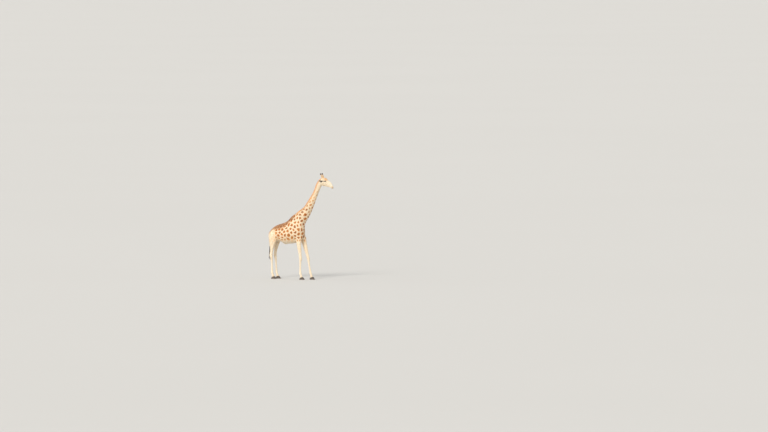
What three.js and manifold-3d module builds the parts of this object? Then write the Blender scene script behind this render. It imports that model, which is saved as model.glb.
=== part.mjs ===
// A young bull giraffe as a life-size still model: it stands with its left foreleg a short step
// ahead, its neck leaning forwards and its head held a little below level.
// Millimetres, +Z up. The animal faces +X, and its left side is towards +Y.
//
// Every piece of flesh is a loft: named sections along a bone line, each a soft oval, with the
// sizes between two sections eased smoothly. The lofts are joined, then parted with thin cuts
// where a person would name the next part of the body.
import * as THREE from 'three';
import Module from 'manifold-3d';

const wasm = await Module();
wasm.setup();

const CUT = 0.5; // width of the thin cuts between neighbouring parts
const GAP = 0.4; // clearance of a piece that is seated on a curved neighbour
const SLICE = 110; // rough spacing of the rings along the body and legs
const SIDES = { 1: 'left', '-1': 'right' };

// ---------------------------------------------------------------- driving dimensions

// Body, from the buttock to the poll in one line: each slice runs from a place on the back or
// nape to one on the belly or throat. `wide` is how far up the slice its widest place lies,
// `crest` narrows the back and `keel` the underside.
const BODY = [
  { back: [-905, 1905], belly: [-895, 1710], wide: 0.5, width: 120, crest: 0, keel: 0 }, // buttock
  { back: [-868, 1975], belly: [-850, 1610], wide: 0.5, width: 290, crest: 0.15, keel: 0.1 }, // tail's root
  { back: [-770, 2085], belly: [-765, 1556], wide: 0.48, width: 425, crest: 0.25, keel: 0.12 }, // croup
  { back: [-615, 2215], belly: [-600, 1556], wide: 0.46, width: 515, crest: 0.35, keel: 0.14 }, // hips
  { back: [-445, 2288], belly: [-415, 1600], wide: 0.47, width: 528, crest: 0.35, keel: 0.2 }, // loin
  { back: [-270, 2340], belly: [-235, 1516], wide: 0.45, width: 570, crest: 0.35, keel: 0.12 }, // flank
  { back: [-110, 2400], belly: [-60, 1480], wide: 0.45, width: 605, crest: 0.4, keel: 0.12 }, // belly
  { back: [15, 2480], belly: [135, 1488], wide: 0.44, width: 608, crest: 0.5, keel: 0.2 },
  { back: [106, 2588], belly: [330, 1512], wide: 0.44, width: 592, crest: 0.58, keel: 0.28 }, // girth
  { back: [165, 2648], belly: [500, 1562], wide: 0.4, width: 568, crest: 0.6, keel: 0.32 }, // withers
  { back: [218, 2692], belly: [640, 1650], wide: 0.36, width: 542, crest: 0.6, keel: 0.35 },
  { back: [270, 2724], belly: [736, 1792], wide: 0.31, width: 505, crest: 0.56, keel: 0.35 }, // brisket
  { back: [316, 2750], belly: [757, 1950], wide: 0.3, width: 456, crest: 0.52, keel: 0.3 }, // breast
  { back: [362, 2771], belly: [754, 2150], wide: 0.34, width: 408, crest: 0.48, keel: 0.25 },
  { back: [412, 2795], belly: [790, 2325], wide: 0.4, width: 368, crest: 0.45, keel: 0.2 },
  { back: [498, 2836], belly: [872, 2468], wide: 0.46, width: 340, crest: 0.42, keel: 0.2 },
  { back: [591, 2896], belly: [962, 2590], wide: 0.5, width: 316, crest: 0.42, keel: 0.2 }, // neck's root
  { back: [762, 3007], belly: [1070, 2778], wide: 0.5, width: 280, crest: 0.4, keel: 0.2 },
  { back: [879, 3165], belly: [1163, 2972], wide: 0.5, width: 238, crest: 0.36, keel: 0.15 },
  { back: [1089, 3462], belly: [1310, 3335], wide: 0.5, width: 188, crest: 0.3, keel: 0.1 },
  { back: [1262, 3752], belly: [1445, 3655], wide: 0.5, width: 165, crest: 0.25, keel: 0.1 },
  { back: [1358, 4006], belly: [1560, 3892], wide: 0.5, width: 168, crest: 0.22, keel: 0.1 }, // throat
  { back: [1466, 4172], belly: [1650, 4052], wide: 0.5, width: 150, crest: 0.2, keel: 0.1 }, // poll
  { back: [1562, 4234], belly: [1700, 4105], wide: 0.5, width: 130, crest: 0.2, keel: 0.1 },
]; // the last slice lies inside the skull
const SHOULDER = { x: 777, z: 2743, slope: 50 }; // where the neck is parted from the trunk
const THROAT = { x: 1512, z: 4020, slope: 30 }; // and the head from the neck
const SHEATH = { x: -115, y: 0, z: 1498, length: 230, width: 84, height: 104 };

// Head: placed by the poll, its own line pointing forwards and down.
const POLL = { x: 1574, z: 4215 };
const HEAD_SLOPE = -27;
const HEAD = [
  { u: -25, v: -58, above: 70, below: 72, width: 120, crest: 0.1, keel: 0.1 }, // nape of the skull
  { u: 30, v: -55, above: 138, below: 140, width: 178, crest: 0.15, keel: 0.3 },
  { u: 100, v: -50, above: 168, below: 172, width: 206, crest: 0.15, keel: 0.45 }, // angle of the jaw
  { u: 185, v: -28, above: 160, below: 180, width: 214, crest: 0.2, keel: 0.5 }, // brow
  { u: 270, v: -26, above: 148, below: 156, width: 190, crest: 0.25, keel: 0.5 }, // cheek
  { u: 350, v: -26, above: 143, below: 127, width: 154, crest: 0.25, keel: 0.45 },
  { u: 430, v: -28, above: 129, below: 101, width: 126, crest: 0.2, keel: 0.35 }, // bridge of the nose
  { u: 500, v: -32, above: 107, below: 80, width: 114, crest: 0.2, keel: 0.25 },
  { u: 560, v: -38, above: 80, below: 65, width: 116, crest: 0.25, keel: 0.2 },
  { u: 602, v: -47, above: 59, below: 54, width: 120, crest: 0.25, keel: 0.2 }, // nostrils
  { u: 632, v: -57, above: 38, below: 41, width: 102, crest: 0.15, keel: 0.1 }, // lips
  { u: 652, v: -63, above: 16, below: 18, width: 56, crest: 0, keel: 0 },
];
const EYE = { u: 230, v: 44, out: 84, radius: 22 };
const RIM = { out: 60, size: [56, 36, 44] }; // brow and cheekbone round the eye
const EAR = { u: 138, v: -12, out: 82, length: 212, width: 92, thickness: 7, cup: 24 };
const OSSICONE = {
  u: 106, v: 40, out: 50, length: 290, slope: 114, splay: 5,
  thick: [[0, 62], [0.16, 78], [0.34, 63], [0.56, 50], [0.76, 42], [0.88, 45], [0.95, 42], [1, 18]],
};
const NOSTRIL = { u: 597, v: -27, out: 50, length: 38, height: 12, depth: 16 };
const LUMP = { u: 188, v: 88, length: 136, width: 66, height: 72, dip: 9 }; // boss on the forehead
const MOUTH = { from: 545, to: 700, v: -76, groove: 2.4, depth: 6 };

// Legs: level slices from inside the trunk down to the hoof. `ahead` is measured from the
// upright line through the leg's fetlock, and `out` from the middle of the body.
const FORELEG = [
  { z: 2090, ahead: -60, front: 20, back: 24, width: 40, out: 110 }, // under the shoulder blade
  { z: 2030, ahead: -58, front: 70, back: 85, width: 110, out: 118 },
  { z: 1940, ahead: -55, front: 100, back: 120, width: 160, out: 128 }, // point of the shoulder
  { z: 1810, ahead: -56, front: 124, back: 118, width: 184, out: 140 }, // upper arm
  { z: 1660, ahead: -66, front: 128, back: 122, width: 172, out: 150 }, // elbow
  { z: 1480, ahead: -54, front: 106, back: 110, width: 146, out: 155 },
  { z: 1250, ahead: -32, front: 90, back: 92, width: 120, out: 150 }, // forearm
  { z: 1070, ahead: -12, front: 74, back: 72, width: 102, out: 144 },
  { z: 950, ahead: 2, front: 66, back: 60, width: 108, out: 141 },
  { z: 865, ahead: 8, front: 66, back: 58, width: 116, out: 140 }, // knee
  { z: 780, ahead: 3, front: 52, back: 52, width: 94, out: 140 },
  { z: 690, ahead: 0, front: 42, back: 46, width: 78, out: 140 },
  { z: 480, ahead: 0, front: 38, back: 44, width: 72, out: 140 }, // cannon
  { z: 335, ahead: 0, front: 42, back: 50, width: 82, out: 140 },
  { z: 262, ahead: 0, front: 50, back: 60, width: 100, out: 140 }, // fetlock
  { z: 180, ahead: 27, front: 47, back: 46, width: 98, out: 140 }, // pastern
  { z: 92, ahead: 58, front: 56, back: 75, width: 146, out: 140 }, // coronet
  { z: 36, ahead: 66, front: 60, back: 84, width: 154, out: 140 },
];
const HINDLEG = [
  { z: 2060, ahead: 0, front: 30, back: 30, width: 50, out: 90 }, // under the hip bone
  { z: 1990, ahead: 0, front: 110, back: 90, width: 120, out: 100 },
  { z: 1890, ahead: 5, front: 180, back: 145, width: 190, out: 122 }, // hip joint
  { z: 1760, ahead: 12, front: 215, back: 168, width: 226, out: 140 }, // thigh
  { z: 1600, ahead: 34, front: 182, back: 176, width: 214, out: 154 }, // stifle
  { z: 1450, ahead: 14, front: 124, back: 122, width: 168, out: 158 },
  { z: 1330, ahead: -4, front: 92, back: 90, width: 132, out: 154 }, // gaskin
  { z: 1200, ahead: -24, front: 74, back: 76, width: 110, out: 150 },
  { z: 1085, ahead: -38, front: 62, back: 72, width: 98, out: 147 },
  { z: 985, ahead: -46, front: 62, back: 80, width: 102, out: 144 }, // point of the hock
  { z: 905, ahead: -36, front: 58, back: 64, width: 106, out: 142 }, // hock
  { z: 815, ahead: -26, front: 48, back: 50, width: 88, out: 140 },
  { z: 690, ahead: -18, front: 41, back: 43, width: 76, out: 138 },
  { z: 450, ahead: -6, front: 38, back: 42, width: 70, out: 136 }, // cannon
  { z: 335, ahead: -2, front: 42, back: 48, width: 80, out: 136 },
  { z: 262, ahead: 0, front: 50, back: 58, width: 97, out: 136 }, // fetlock
  { z: 180, ahead: 27, front: 46, back: 46, width: 95, out: 136 }, // pastern
  { z: 92, ahead: 58, front: 56, back: 75, width: 146, out: 136 }, // coronet
  { z: 36, ahead: 66, front: 60, back: 84, width: 154, out: 136 },
];
// Where each leg stands, and how far its foot is moved ahead of that by the stride.
const LEGS = [
  { name: 'fore', side: 1, sections: FORELEG, stands: 650, stride: 340, top: 1535, joint: 862 },
  { name: 'fore', side: -1, sections: FORELEG, stands: 650, stride: 0, top: 1535, joint: 862 },
  { name: 'hind', side: 1, sections: HINDLEG, stands: -672, stride: 45, top: 1478, joint: 930 },
  { name: 'hind', side: -1, sections: HINDLEG, stands: -672, stride: -20, top: 1478, joint: 930 },
];
const STRIDE_PIVOT = 2000; // height at which a striding leg swings
const FETLOCK = 262;

// Hoof: two toes to a foot. The front wall leans back at WALL degrees from the ground.
const TOE = { centre: 66, front: 126, heel: 90, width: 84, height: 130, bevel: 6, parting: 5, wall: 52 };
const CORONET = { ahead: 44, z: 80, lean: 20 }; // where hair ends and horn begins, higher in front

// Hair that stands clear of the body, as closed shapes out to its tips.
const MANE = { height: 58, thickness: 22, edge: 7, foot: 30, from: 300 }; // `from`: x at the withers
const FORELOCK = [[20, 76], [85, 106]]; // u and v on the skull where the mane ends
const TAIL = [
  { x: -866, y: 0, z: 1925, slope: -150, thick: 76 },
  { x: -912, y: 4, z: 1862, slope: -112, thick: 62 },
  { x: -916, y: 22, z: 1640, slope: -90, thick: 46 },
  { x: -898, y: 62, z: 1200, slope: -90, thick: 34 }, // end of the dock
];
const TUFT = {
  length: 430, drift: 30,
  thick: [[0, 40], [0.1, 54], [0.4, 92], [0.75, 70], [0.93, 34], [1, 10]],
};

// Muscle and bone under the skin, on both sides: it swells sideways round a place on the body.
const MUSCLES = [
  { x: 420, z: 2290, long: 150, high: 260, rise: 16 }, // shoulder blade
  { x: 690, z: 2010, long: 95, high: 130, rise: 30 }, // point of the shoulder
  { x: 480, z: 1860, long: 130, high: 150, rise: 18 }, // triceps
  { x: 40, z: 1850, long: 300, high: 260, rise: 10 }, // ribs
  { x: -475, z: 2140, long: 75, high: 75, rise: 26 }, // hip bone
  { x: -650, z: 1790, long: 170, high: 200, rise: 16 }, // thigh
  { x: -560, z: 1560, long: 90, high: 90, rise: 10 }, // stifle
];

// ---------------------------------------------------------------- materials

const material = (color, roughness) => new THREE.MeshStandardMaterial({ color, roughness, metalness: 0 });
const COAT = material(0xe6cfa6, 0.85);
const HAIR = material(0x8a4f24, 0.8);
const DARK_HAIR = material(0x1d1512, 0.7);
const HORN = material(0xc79a62, 0.8);
const HOOF = material(0x4a3f38, 0.5);
const EYEBALL = material(0x140d0a, 0.08);

// ---------------------------------------------------------------- tools

const radians = THREE.MathUtils.degToRad;
const direction = (slope) => new THREE.Vector3(Math.cos(radians(slope)), 0, Math.sin(radians(slope)));

// A place on the head, from its distance along, above and beside the head's own line.
function onHead(u, v, out = 0) {
  return new THREE.Vector3(POLL.x, out, POLL.z)
    .addScaledVector(direction(HEAD_SLOPE), u)
    .addScaledVector(direction(HEAD_SLOPE + 90), v);
}

// Sections eased by monotone cubics, so that no size overshoots, about `pitch` apart.
function eased(sections, pitch) {
  const keys = Object.keys(sections[0]);
  const spans = sections.slice(1).map((b, i) => {
    const a = sections[i];
    return Math.hypot(b.x - a.x, (b.y ?? 0) - (a.y ?? 0), b.z - a.z);
  });
  const steepness = Object.fromEntries(
    keys.map((key) => {
      const rise = spans.map((span, i) => (sections[i + 1][key] - sections[i][key]) / span);
      const slopes = sections.map((_, i) => {
        if (i === 0) return rise[0];
        if (i === rise.length) return rise[i - 1];
        if (rise[i - 1] * rise[i] <= 0) return 0;
        return (2 * rise[i - 1] * rise[i]) / (rise[i - 1] + rise[i]);
      });
      return [key, slopes];
    }),
  );
  const at = (i, t) =>
    Object.fromEntries(
      keys.map((key) => {
        const [a, b] = [sections[i][key], sections[i + 1][key]];
        const [p, q] = [steepness[key][i] * spans[i], steepness[key][i + 1] * spans[i]];
        const bend = t * t * (3 - 2 * t);
        return [key, a + (b - a) * bend + p * t * (1 - t) ** 2 - q * t * t * (1 - t)];
      }),
    );
  const made = spans.flatMap((span, i) => {
    const steps = Math.max(1, Math.round(span / pitch));
    return Array.from({ length: steps }, (_, k) => at(i, k / steps));
  });
  return [...made, at(spans.length - 1, 1)];
}

// The soft oval of one section: `above` and `below` its centre, narrowed by crest and keel.
function oval(section, sides, grow = 0) {
  const { x, y = 0, z, slope, above, below, width, crest = 0, keel = 0, square = 2 } = section;
  const up = direction(slope + 90);
  const power = (value) => Math.sign(value) * Math.abs(value) ** (2 / square);
  return Array.from({ length: sides }, (_, k) => {
    const turn = (2 * Math.PI * k) / sides;
    const [across, rise] = [power(Math.cos(turn)), power(Math.sin(turn))];
    const narrow = rise > 0 ? 1 - crest * rise ** 2 : 1 - keel * rise ** 2;
    const side = (width / 2 + grow) * across * narrow;
    const height = ((rise > 0 ? above : below) + grow) * rise;
    return new THREE.Vector3(x, y + side, z).addScaledVector(up, height);
  });
}

// A closed skin over rings of equal count; the rings turn anticlockwise about the loft's line.
function loft(rings) {
  const sides = rings[0].length;
  const middle = (ring) => ring.reduce((sum, p) => sum.add(p), new THREE.Vector3()).divideScalar(sides);
  const points = [...rings.flat(), middle(rings[0]), middle(rings.at(-1))];
  const [first, last] = [rings.length * sides, rings.length * sides + 1];
  const faces = [];
  for (let k = 0; k < sides; k++) {
    const next = (k + 1) % sides;
    faces.push(first, next, k);
    for (let r = 0; r < rings.length - 1; r++) {
      const [a, b] = [r * sides + k, r * sides + next];
      faces.push(a, b, b + sides, a, b + sides, a + sides);
    }
    const end = (rings.length - 1) * sides;
    faces.push(last, end + k, end + next);
  }
  return new THREE.BufferGeometry().setFromPoints(points).setIndex(faces);
}

// A round piece along a bent line: each section has a place, a slope and a thickness.
function rounded(sections, sides, pitch) {
  const slices = sections.map(({ thick, ...rest }) => ({
    ...rest, above: thick / 2, below: thick / 2, width: thick,
  }));
  return solid(loft(eased(slices, pitch).map((s) => oval(s, sides))));
}

// Pushes a geometry's points sideways where muscle lies under them.
function swollen(geometry) {
  const place = geometry.getAttribute('position');
  for (let i = 0; i < place.count; i++) {
    const [x, y, z] = [place.getX(i), place.getY(i), place.getZ(i)];
    const away = THREE.MathUtils.clamp(y / 120, -1, 1);
    const rise = MUSCLES.reduce(
      (sum, m) => sum + m.rise * Math.exp(-(((x - m.x) / m.long) ** 2) - ((z - m.z) / m.high) ** 2),
      0,
    );
    place.setY(i, y + away * rise);
  }
  return geometry;
}

function solid(geometry) {
  const place = geometry.getAttribute('position');
  const mesh = new wasm.Mesh({
    numProp: 3,
    vertProperties: new Float32Array(place.array),
    triVerts: new Uint32Array(geometry.index.array),
  });
  mesh.merge();
  return new wasm.Manifold(mesh);
}

// A ball drawn out to `size` along its three axes, the first of them turned to `slope` and `yaw`.
function ball(centre, size, { slope = 0, yaw = 0, sides = 12 } = {}) {
  const round = new THREE.SphereGeometry(1, sides, Math.round(sides * 0.7)).scale(...size);
  round.deleteAttribute('normal').deleteAttribute('uv');
  round.rotateY(radians(-slope)).rotateZ(radians(yaw)).translate(centre.x, centre.y, centre.z);
  return solid(round);
}

// What lies beyond a plane through `at` that faces along `slope`.
function beyond(body, at, slope, clear = CUT / 2) {
  const size = 6000;
  const block = new THREE.BoxGeometry(size, size, size);
  block.translate(size / 2 + clear, 0, 0).rotateY(radians(-slope)).translate(at.x, 0, at.z);
  return body.intersect(solid(block));
}
const parted = (body, at, slope) => [beyond(body, at, slope), beyond(body, at, slope + 180)];

const giraffe = new THREE.Group();
function addPart(name, body, finish) {
  const made = body.getMesh();
  const geometry = new THREE.BufferGeometry();
  geometry.setAttribute('position', new THREE.BufferAttribute(made.vertProperties, 3));
  geometry.setIndex(new THREE.BufferAttribute(made.triVerts, 1));
  geometry.computeVertexNormals();
  const part = new THREE.Mesh(geometry, finish);
  part.name = name;
  giraffe.add(part);
}

// ---------------------------------------------------------------- flesh

const bodySlices = eased(
  BODY.map(({ back, belly, ...rest }) => ({
    ...rest, x: (back[0] + belly[0]) / 2, z: (back[1] + belly[1]) / 2,
    backX: back[0], backZ: back[1], bellyX: belly[0], bellyZ: belly[1],
  })),
  SLICE,
).map(({ backX, backZ, bellyX, bellyZ, wide, width, crest, keel }) => {
  const depth = Math.hypot(backX - bellyX, backZ - bellyZ);
  return {
    x: bellyX + (backX - bellyX) * wide, z: bellyZ + (backZ - bellyZ) * wide,
    slope: THREE.MathUtils.radToDeg(Math.atan2(backZ - bellyZ, backX - bellyX)) - 90,
    above: depth * (1 - wide), below: depth * wide, width, crest, keel,
  };
});
// The body's solid. A grown one is larger all round, and reaches further back at the buttock.
function body(grow = 0) {
  const [buttock, ...rest] = bodySlices;
  const slices = [{ ...buttock, x: buttock.x - grow }, ...rest];
  return solid(swollen(loft(slices.map((s) => oval(s, 22, grow)))));
}

function skull(grow = 0) {
  const grown = (size) => size.map((r) => r + grow);
  const slices = HEAD.map(({ u, v, ...rest }) => {
    const { x, z } = onHead(u, v);
    return { x, z, slope: HEAD_SLOPE, square: 2.2, ...rest };
  });
  const bone = solid(loft(eased(slices, 60).map((s) => oval(s, 20, grow))));
  const boss = ball(onHead(LUMP.u, LUMP.v), grown([LUMP.length, LUMP.width, LUMP.height]), {
    slope: HEAD_SLOPE - LUMP.dip,
  });
  const rim = (side) =>
    ball(onHead(EYE.u - 4, EYE.v + 4, side * RIM.out), grown(RIM.size), { slope: HEAD_SLOPE });
  return bone.add(boss).add(rim(1)).add(rim(-1));
}

// How far a striding leg is carried ahead at a height: nothing at its pivot, all at the fetlock.
const carried = (z, stride) =>
  stride * THREE.MathUtils.clamp((STRIDE_PIVOT - z) / (STRIDE_PIVOT - FETLOCK), 0, 1);

function leg({ sections, side, stands, stride }) {
  const slices = sections.map(({ z, ahead, front, back, width, out }) => ({
    x: stands + ahead + carried(z, stride), y: side * out, z, slope: -90,
    above: front, below: back, width, square: 2.15,
  }));
  return solid(swollen(loft(eased(slices, SLICE).map((s) => oval(s, 12)))));
}

// ---------------------------------------------------------------- face

function ear(side) {
  const [steps, arc] = [8, 6];
  const root = onHead(EAR.u, EAR.v, side * EAR.out);
  const along = new THREE.Vector3(-0.6, side * 0.79, 0.12).normalize(); // outwards and back
  const facing = new THREE.Vector3(0.78, side * 0.3, -0.38);
  const opening = facing.addScaledVector(along, -facing.dot(along)).normalize();
  const across = new THREE.Vector3().crossVectors(opening, along).normalize();
  const rings = Array.from({ length: steps + 1 }, (_, i) => {
    const t = i / steps;
    const half = (EAR.width / 2) * (0.42 + 0.58 * Math.sin(Math.PI * Math.min(1, t * 0.9 + 0.12)) ** 0.8)
      * Math.sqrt(Math.max(0.012, 1 - t ** 5));
    const cup = EAR.cup * (1 - 0.55 * t);
    const wall = EAR.thickness * (1.6 - 0.9 * t) * Math.min(1, 4 * (1.04 - t));
    const line = (depth, from) =>
      Array.from({ length: arc }, (_, k) => {
        const w = from * (1 - (2 * k) / (arc - 1));
        return root.clone()
          .addScaledVector(along, EAR.length * t)
          .addScaledVector(across, half * w * (1 - depth / 100))
          .addScaledVector(opening, cup * (w * w - 1) + depth * Math.sqrt(1 - 0.85 * w * w));
      });
    return [...line(wall / 2, 1), ...line(-wall / 2, -1)];
  });
  return solid(loft(rings));
}

function ossicone(side) {
  const { u, v, out, length, slope, splay, thick } = OSSICONE;
  const root = onHead(u, v, side * out);
  const line = direction(slope).multiplyScalar(length);
  const sections = thick.map(([t, wide]) => ({
    x: root.x + line.x * t, y: root.y + side * length * t * Math.sin(radians(splay)),
    z: root.z + line.z * t, slope, thick: wide,
  }));
  return rounded(sections, 8, 30);
}

// The slit between the lips: a blade across the muzzle, less the muzzle's own core.
function mouthSlit() {
  const blade = new THREE.BoxGeometry(MOUTH.to - MOUTH.from, 400, MOUTH.groove);
  const centre = onHead((MOUTH.from + MOUTH.to) / 2, MOUTH.v);
  blade.rotateY(radians(-HEAD_SLOPE)).translate(centre.x, 0, centre.z);
  return solid(blade).subtract(skull(-MOUTH.depth));
}

// ---------------------------------------------------------------- feet and hair

// One toe of the hoof: level slices, each reaching less far ahead than the one under it.
function toe(inner, foot) {
  const { centre, front, heel, width, height, bevel, parting, wall } = TOE;
  const slices = [0, bevel, height / 2, height].map((z) => {
    const shrink = z === 0 ? bevel : 0;
    return {
      x: foot.x + centre, y: foot.y + inner * (width / 2 + parting - z * 0.06), z, slope: 90,
      above: heel - shrink - z * 0.12, below: front - shrink - z / Math.tan(radians(wall)),
      width: width - shrink - z * 0.16, crest: 0.1, keel: 0.42, square: 2.5,
    };
  });
  return solid(loft(slices.map((s) => oval(s, 12))));
}

// A fin of hair along the back of the neck, from the withers to between the horns.
function mane() {
  const crestOf = ({ x, z, slope, above }) =>
    new THREE.Vector3(x, 0, z).addScaledVector(direction(slope + 90), above);
  const rows = bodySlices
    .map((slice) => ({ crest: crestOf(slice), up: direction(slice.slope + 90) }))
    .filter(({ crest }) => crest.x > MANE.from);
  for (const [u, v] of FORELOCK) rows.push({ crest: onHead(u, v), up: direction(HEAD_SLOPE + 110) });
  const rings = rows.map(({ crest, up }, i) => {
    const t = i / (rows.length - 1);
    const rise = MANE.height * Math.min(1, Math.sqrt(t * 4), 0.15 + (1 - t) * 3);
    const corner = (side, height) => new THREE.Vector3(0, side, 0).add(crest).addScaledVector(up, height);
    const [thick, edge] = [MANE.thickness / 2, MANE.edge / 2];
    return [
      corner(thick, -MANE.foot), corner(thick, rise * 0.2), corner(edge, rise * 0.92), corner(0, rise),
      corner(-edge, rise * 0.92), corner(-thick, rise * 0.2), corner(-thick, -MANE.foot),
    ];
  });
  return solid(loft(rings));
}

function tailTuft() {
  const end = TAIL.at(-1);
  const sections = TUFT.thick.map(([t, thick]) => ({
    x: end.x + TUFT.drift * t, y: end.y + TUFT.drift * t,
    z: end.z - CUT - TUFT.length * t, slope: -90, thick,
  }));
  return rounded(sections, 10, 60);
}

// ---------------------------------------------------------------- the whole animal, then its parts

const sheath = ball(SHEATH, [SHEATH.length / 2, SHEATH.width / 2, SHEATH.height / 2], { slope: 8 });
let flesh = body().add(sheath);
for (const plan of LEGS) {
  const name = `${plan.name}_leg_${SIDES[plan.side]}`;
  const [top, joint] = [{ x: 0, z: plan.top }, { x: 0, z: plan.joint }];
  const whole = leg(plan);
  flesh = flesh.add(beyond(whole, top, 90));
  const [upper, lower] = parted(beyond(whole, top, -90), joint, 90);
  addPart(`${name}_upper`, upper, COAT);
  const foot = { x: plan.stands + plan.stride, y: plan.side * plan.sections.at(-1).out };
  const crown = { x: foot.x + CORONET.ahead, z: CORONET.z };
  addPart(`${name}_lower`, beyond(lower, crown, 90 + CORONET.lean, GAP), COAT);
  for (const [place, inner] of [['inner', -plan.side], ['outer', plan.side]]) {
    const horn = beyond(toe(inner, foot), crown, CORONET.lean - 90, GAP);
    addPart(`hoof_${plan.name}_${SIDES[plan.side]}_${place}`, horn, HOOF);
  }
}
const [neckAndOn, trunk] = parted(flesh, SHOULDER, SHOULDER.slope);
addPart('trunk', trunk, COAT);
addPart('neck', beyond(neckAndOn, THROAT, THROAT.slope + 180), COAT);

let head = beyond(skull().add(body()), THROAT, THROAT.slope).subtract(mouthSlit());
const seat = skull(GAP).add(body(GAP));
for (const side of [1, -1]) {
  const socket = onHead(EYE.u, EYE.v, side * EYE.out);
  const nostril = onHead(NOSTRIL.u, NOSTRIL.v, side * NOSTRIL.out);
  const opening = ball(nostril, [NOSTRIL.length / 2, NOSTRIL.depth, NOSTRIL.height / 2], {
    slope: HEAD_SLOPE - 35, yaw: side * 14, sides: 8,
  });
  const cube = (radius) => [radius, radius, radius];
  head = head.subtract(ball(socket, cube(EYE.radius + GAP))).subtract(opening);
  addPart(`eye_${SIDES[side]}`, ball(socket, cube(EYE.radius)), EYEBALL);
  addPart(`ossicone_${SIDES[side]}`, ossicone(side).subtract(seat), HORN);
  addPart(`ear_${SIDES[side]}`, ear(side).subtract(seat), COAT);
}
addPart('head', head, COAT);
addPart('mane', mane().subtract(seat), HAIR);
addPart('tail', rounded(TAIL, 10, 100).subtract(seat), COAT);
addPart('tail_tuft', tailTuft(), DARK_HAIR);

// The origin is on the ground, under the middle of the animal's length and width.
const bounds = new THREE.Box3().setFromObject(giraffe);
const centre = bounds.getCenter(new THREE.Vector3());
giraffe.position.set(-centre.x, -centre.y, -bounds.min.z);

export default giraffe;
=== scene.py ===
# %% [markdown]
# # A giraffe, life-size
# This lesson dresses a young bull giraffe. The solids of its body are already packed: trunk,
# neck, head, legs, ears, eyes, horns, hooves, mane and tail, all in metres, with the animal
# facing +X and standing on z = 0. They say where everything is. Here they get one skin without
# a seam, a coat of short hair with its markings, a mane, a tail tuft, eyes with lids, and horn.

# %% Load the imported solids
import math
import bmesh
import bpy
import numpy as np
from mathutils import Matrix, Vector, noise
from mathutils.bvhtree import BVHTree


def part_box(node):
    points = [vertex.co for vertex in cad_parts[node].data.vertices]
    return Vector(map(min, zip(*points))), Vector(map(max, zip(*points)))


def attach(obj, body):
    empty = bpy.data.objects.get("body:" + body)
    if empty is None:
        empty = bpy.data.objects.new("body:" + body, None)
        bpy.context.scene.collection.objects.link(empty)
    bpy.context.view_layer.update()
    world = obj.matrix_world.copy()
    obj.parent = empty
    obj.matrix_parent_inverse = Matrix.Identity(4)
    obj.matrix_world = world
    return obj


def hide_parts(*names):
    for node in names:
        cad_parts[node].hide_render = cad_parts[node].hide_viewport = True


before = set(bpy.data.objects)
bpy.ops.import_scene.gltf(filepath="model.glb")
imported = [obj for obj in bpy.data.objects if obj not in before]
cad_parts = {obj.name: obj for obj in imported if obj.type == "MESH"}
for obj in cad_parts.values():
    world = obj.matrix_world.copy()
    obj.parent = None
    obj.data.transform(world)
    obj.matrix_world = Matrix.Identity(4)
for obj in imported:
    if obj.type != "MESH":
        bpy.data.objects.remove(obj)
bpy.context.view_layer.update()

# %% [markdown]
# ## Places on the head
# The head slopes forwards and down, so its features are easiest to place on its own line: `u`
# along it from the poll to the lips, `v` above it, and `out` to the side. The eyes are solids
# of the frame, and the poll is found from them, so the two can't drift apart.

# %% Head coordinates
HEAD_SLOPE = math.radians(-27)
EYE = {"u": 0.230, "v": 0.044}
SIDES = {"left": 1, "right": -1}
ahead = np.array([math.cos(HEAD_SLOPE), 0, math.sin(HEAD_SLOPE)])
above = np.array([-math.sin(HEAD_SLOPE), 0, math.cos(HEAD_SLOPE)])


def middle(node):
    low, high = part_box(node)
    return np.array((low + high) / 2)


eye_centre = {side: middle(f"eye_{side}") for side in SIDES}
eye_radius = float((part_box("eye_left")[1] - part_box("eye_left")[0]).z / 2)
poll = sum(eye_centre.values()) / 2 - EYE["u"] * ahead - EYE["v"] * above


def head_place(u, v, out=0.0):
    return poll + u * ahead + v * above + np.array([0, out, 0])


def head_coordinates(points):
    from_poll = points - poll
    return from_poll @ ahead, from_poll @ above, from_poll[:, 1]


def unit(vectors):
    return vectors / np.maximum(np.linalg.norm(vectors, axis=-1, keepdims=True), 1e-9)


print("poll:", poll.round(3), "eye radius:", round(eye_radius, 4))

# %% [markdown]
# ## One skin over all the flesh
# On the real animal one hide runs over trunk, neck, head, legs and tail. The solids are parted
# by thin cuts and their faces are flat, so they can't be shown. Box modelling a hide by hand is
# one way; here the solids are copied, swollen by half a millimetre so that the cuts close, and
# remeshed with voxels into one surface. Then the places that need it are divided finer: the
# lower legs and tail once, and the head twice, with a third time round the eyes and the muzzle.

# %% Copy the flesh and remesh it
LEGS = [f"{end}_leg_{side}" for end in ("fore", "hind") for side in SIDES]
FLESH = ["trunk", "neck", "head", "tail"] + [f"{leg}_{half}" for leg in LEGS for half in ("upper", "lower")]
EYES = [f"eye_{side}" for side in SIDES]
VOXEL = 0.0185
SWELL = 0.0006


def joined_copy(nodes, swell=0.0):
    made = bmesh.new()
    for name in nodes:
        piece = bmesh.new()
        piece.from_mesh(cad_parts[name].data)
        bmesh.ops.remove_doubles(piece, verts=piece.verts, dist=1e-5)
        piece.normal_update()
        for vert in piece.verts:
            vert.co += vert.normal * swell
        mesh = bpy.data.meshes.new(name)
        piece.to_mesh(mesh)
        made.from_mesh(mesh)
        bpy.data.meshes.remove(mesh)
        piece.free()
    return made


def as_object(name, build):
    mesh = bpy.data.meshes.new(name)
    build.to_mesh(mesh)
    build.free()
    made = bpy.data.objects.new(name, mesh)
    bpy.context.collection.objects.link(made)
    return made


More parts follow.
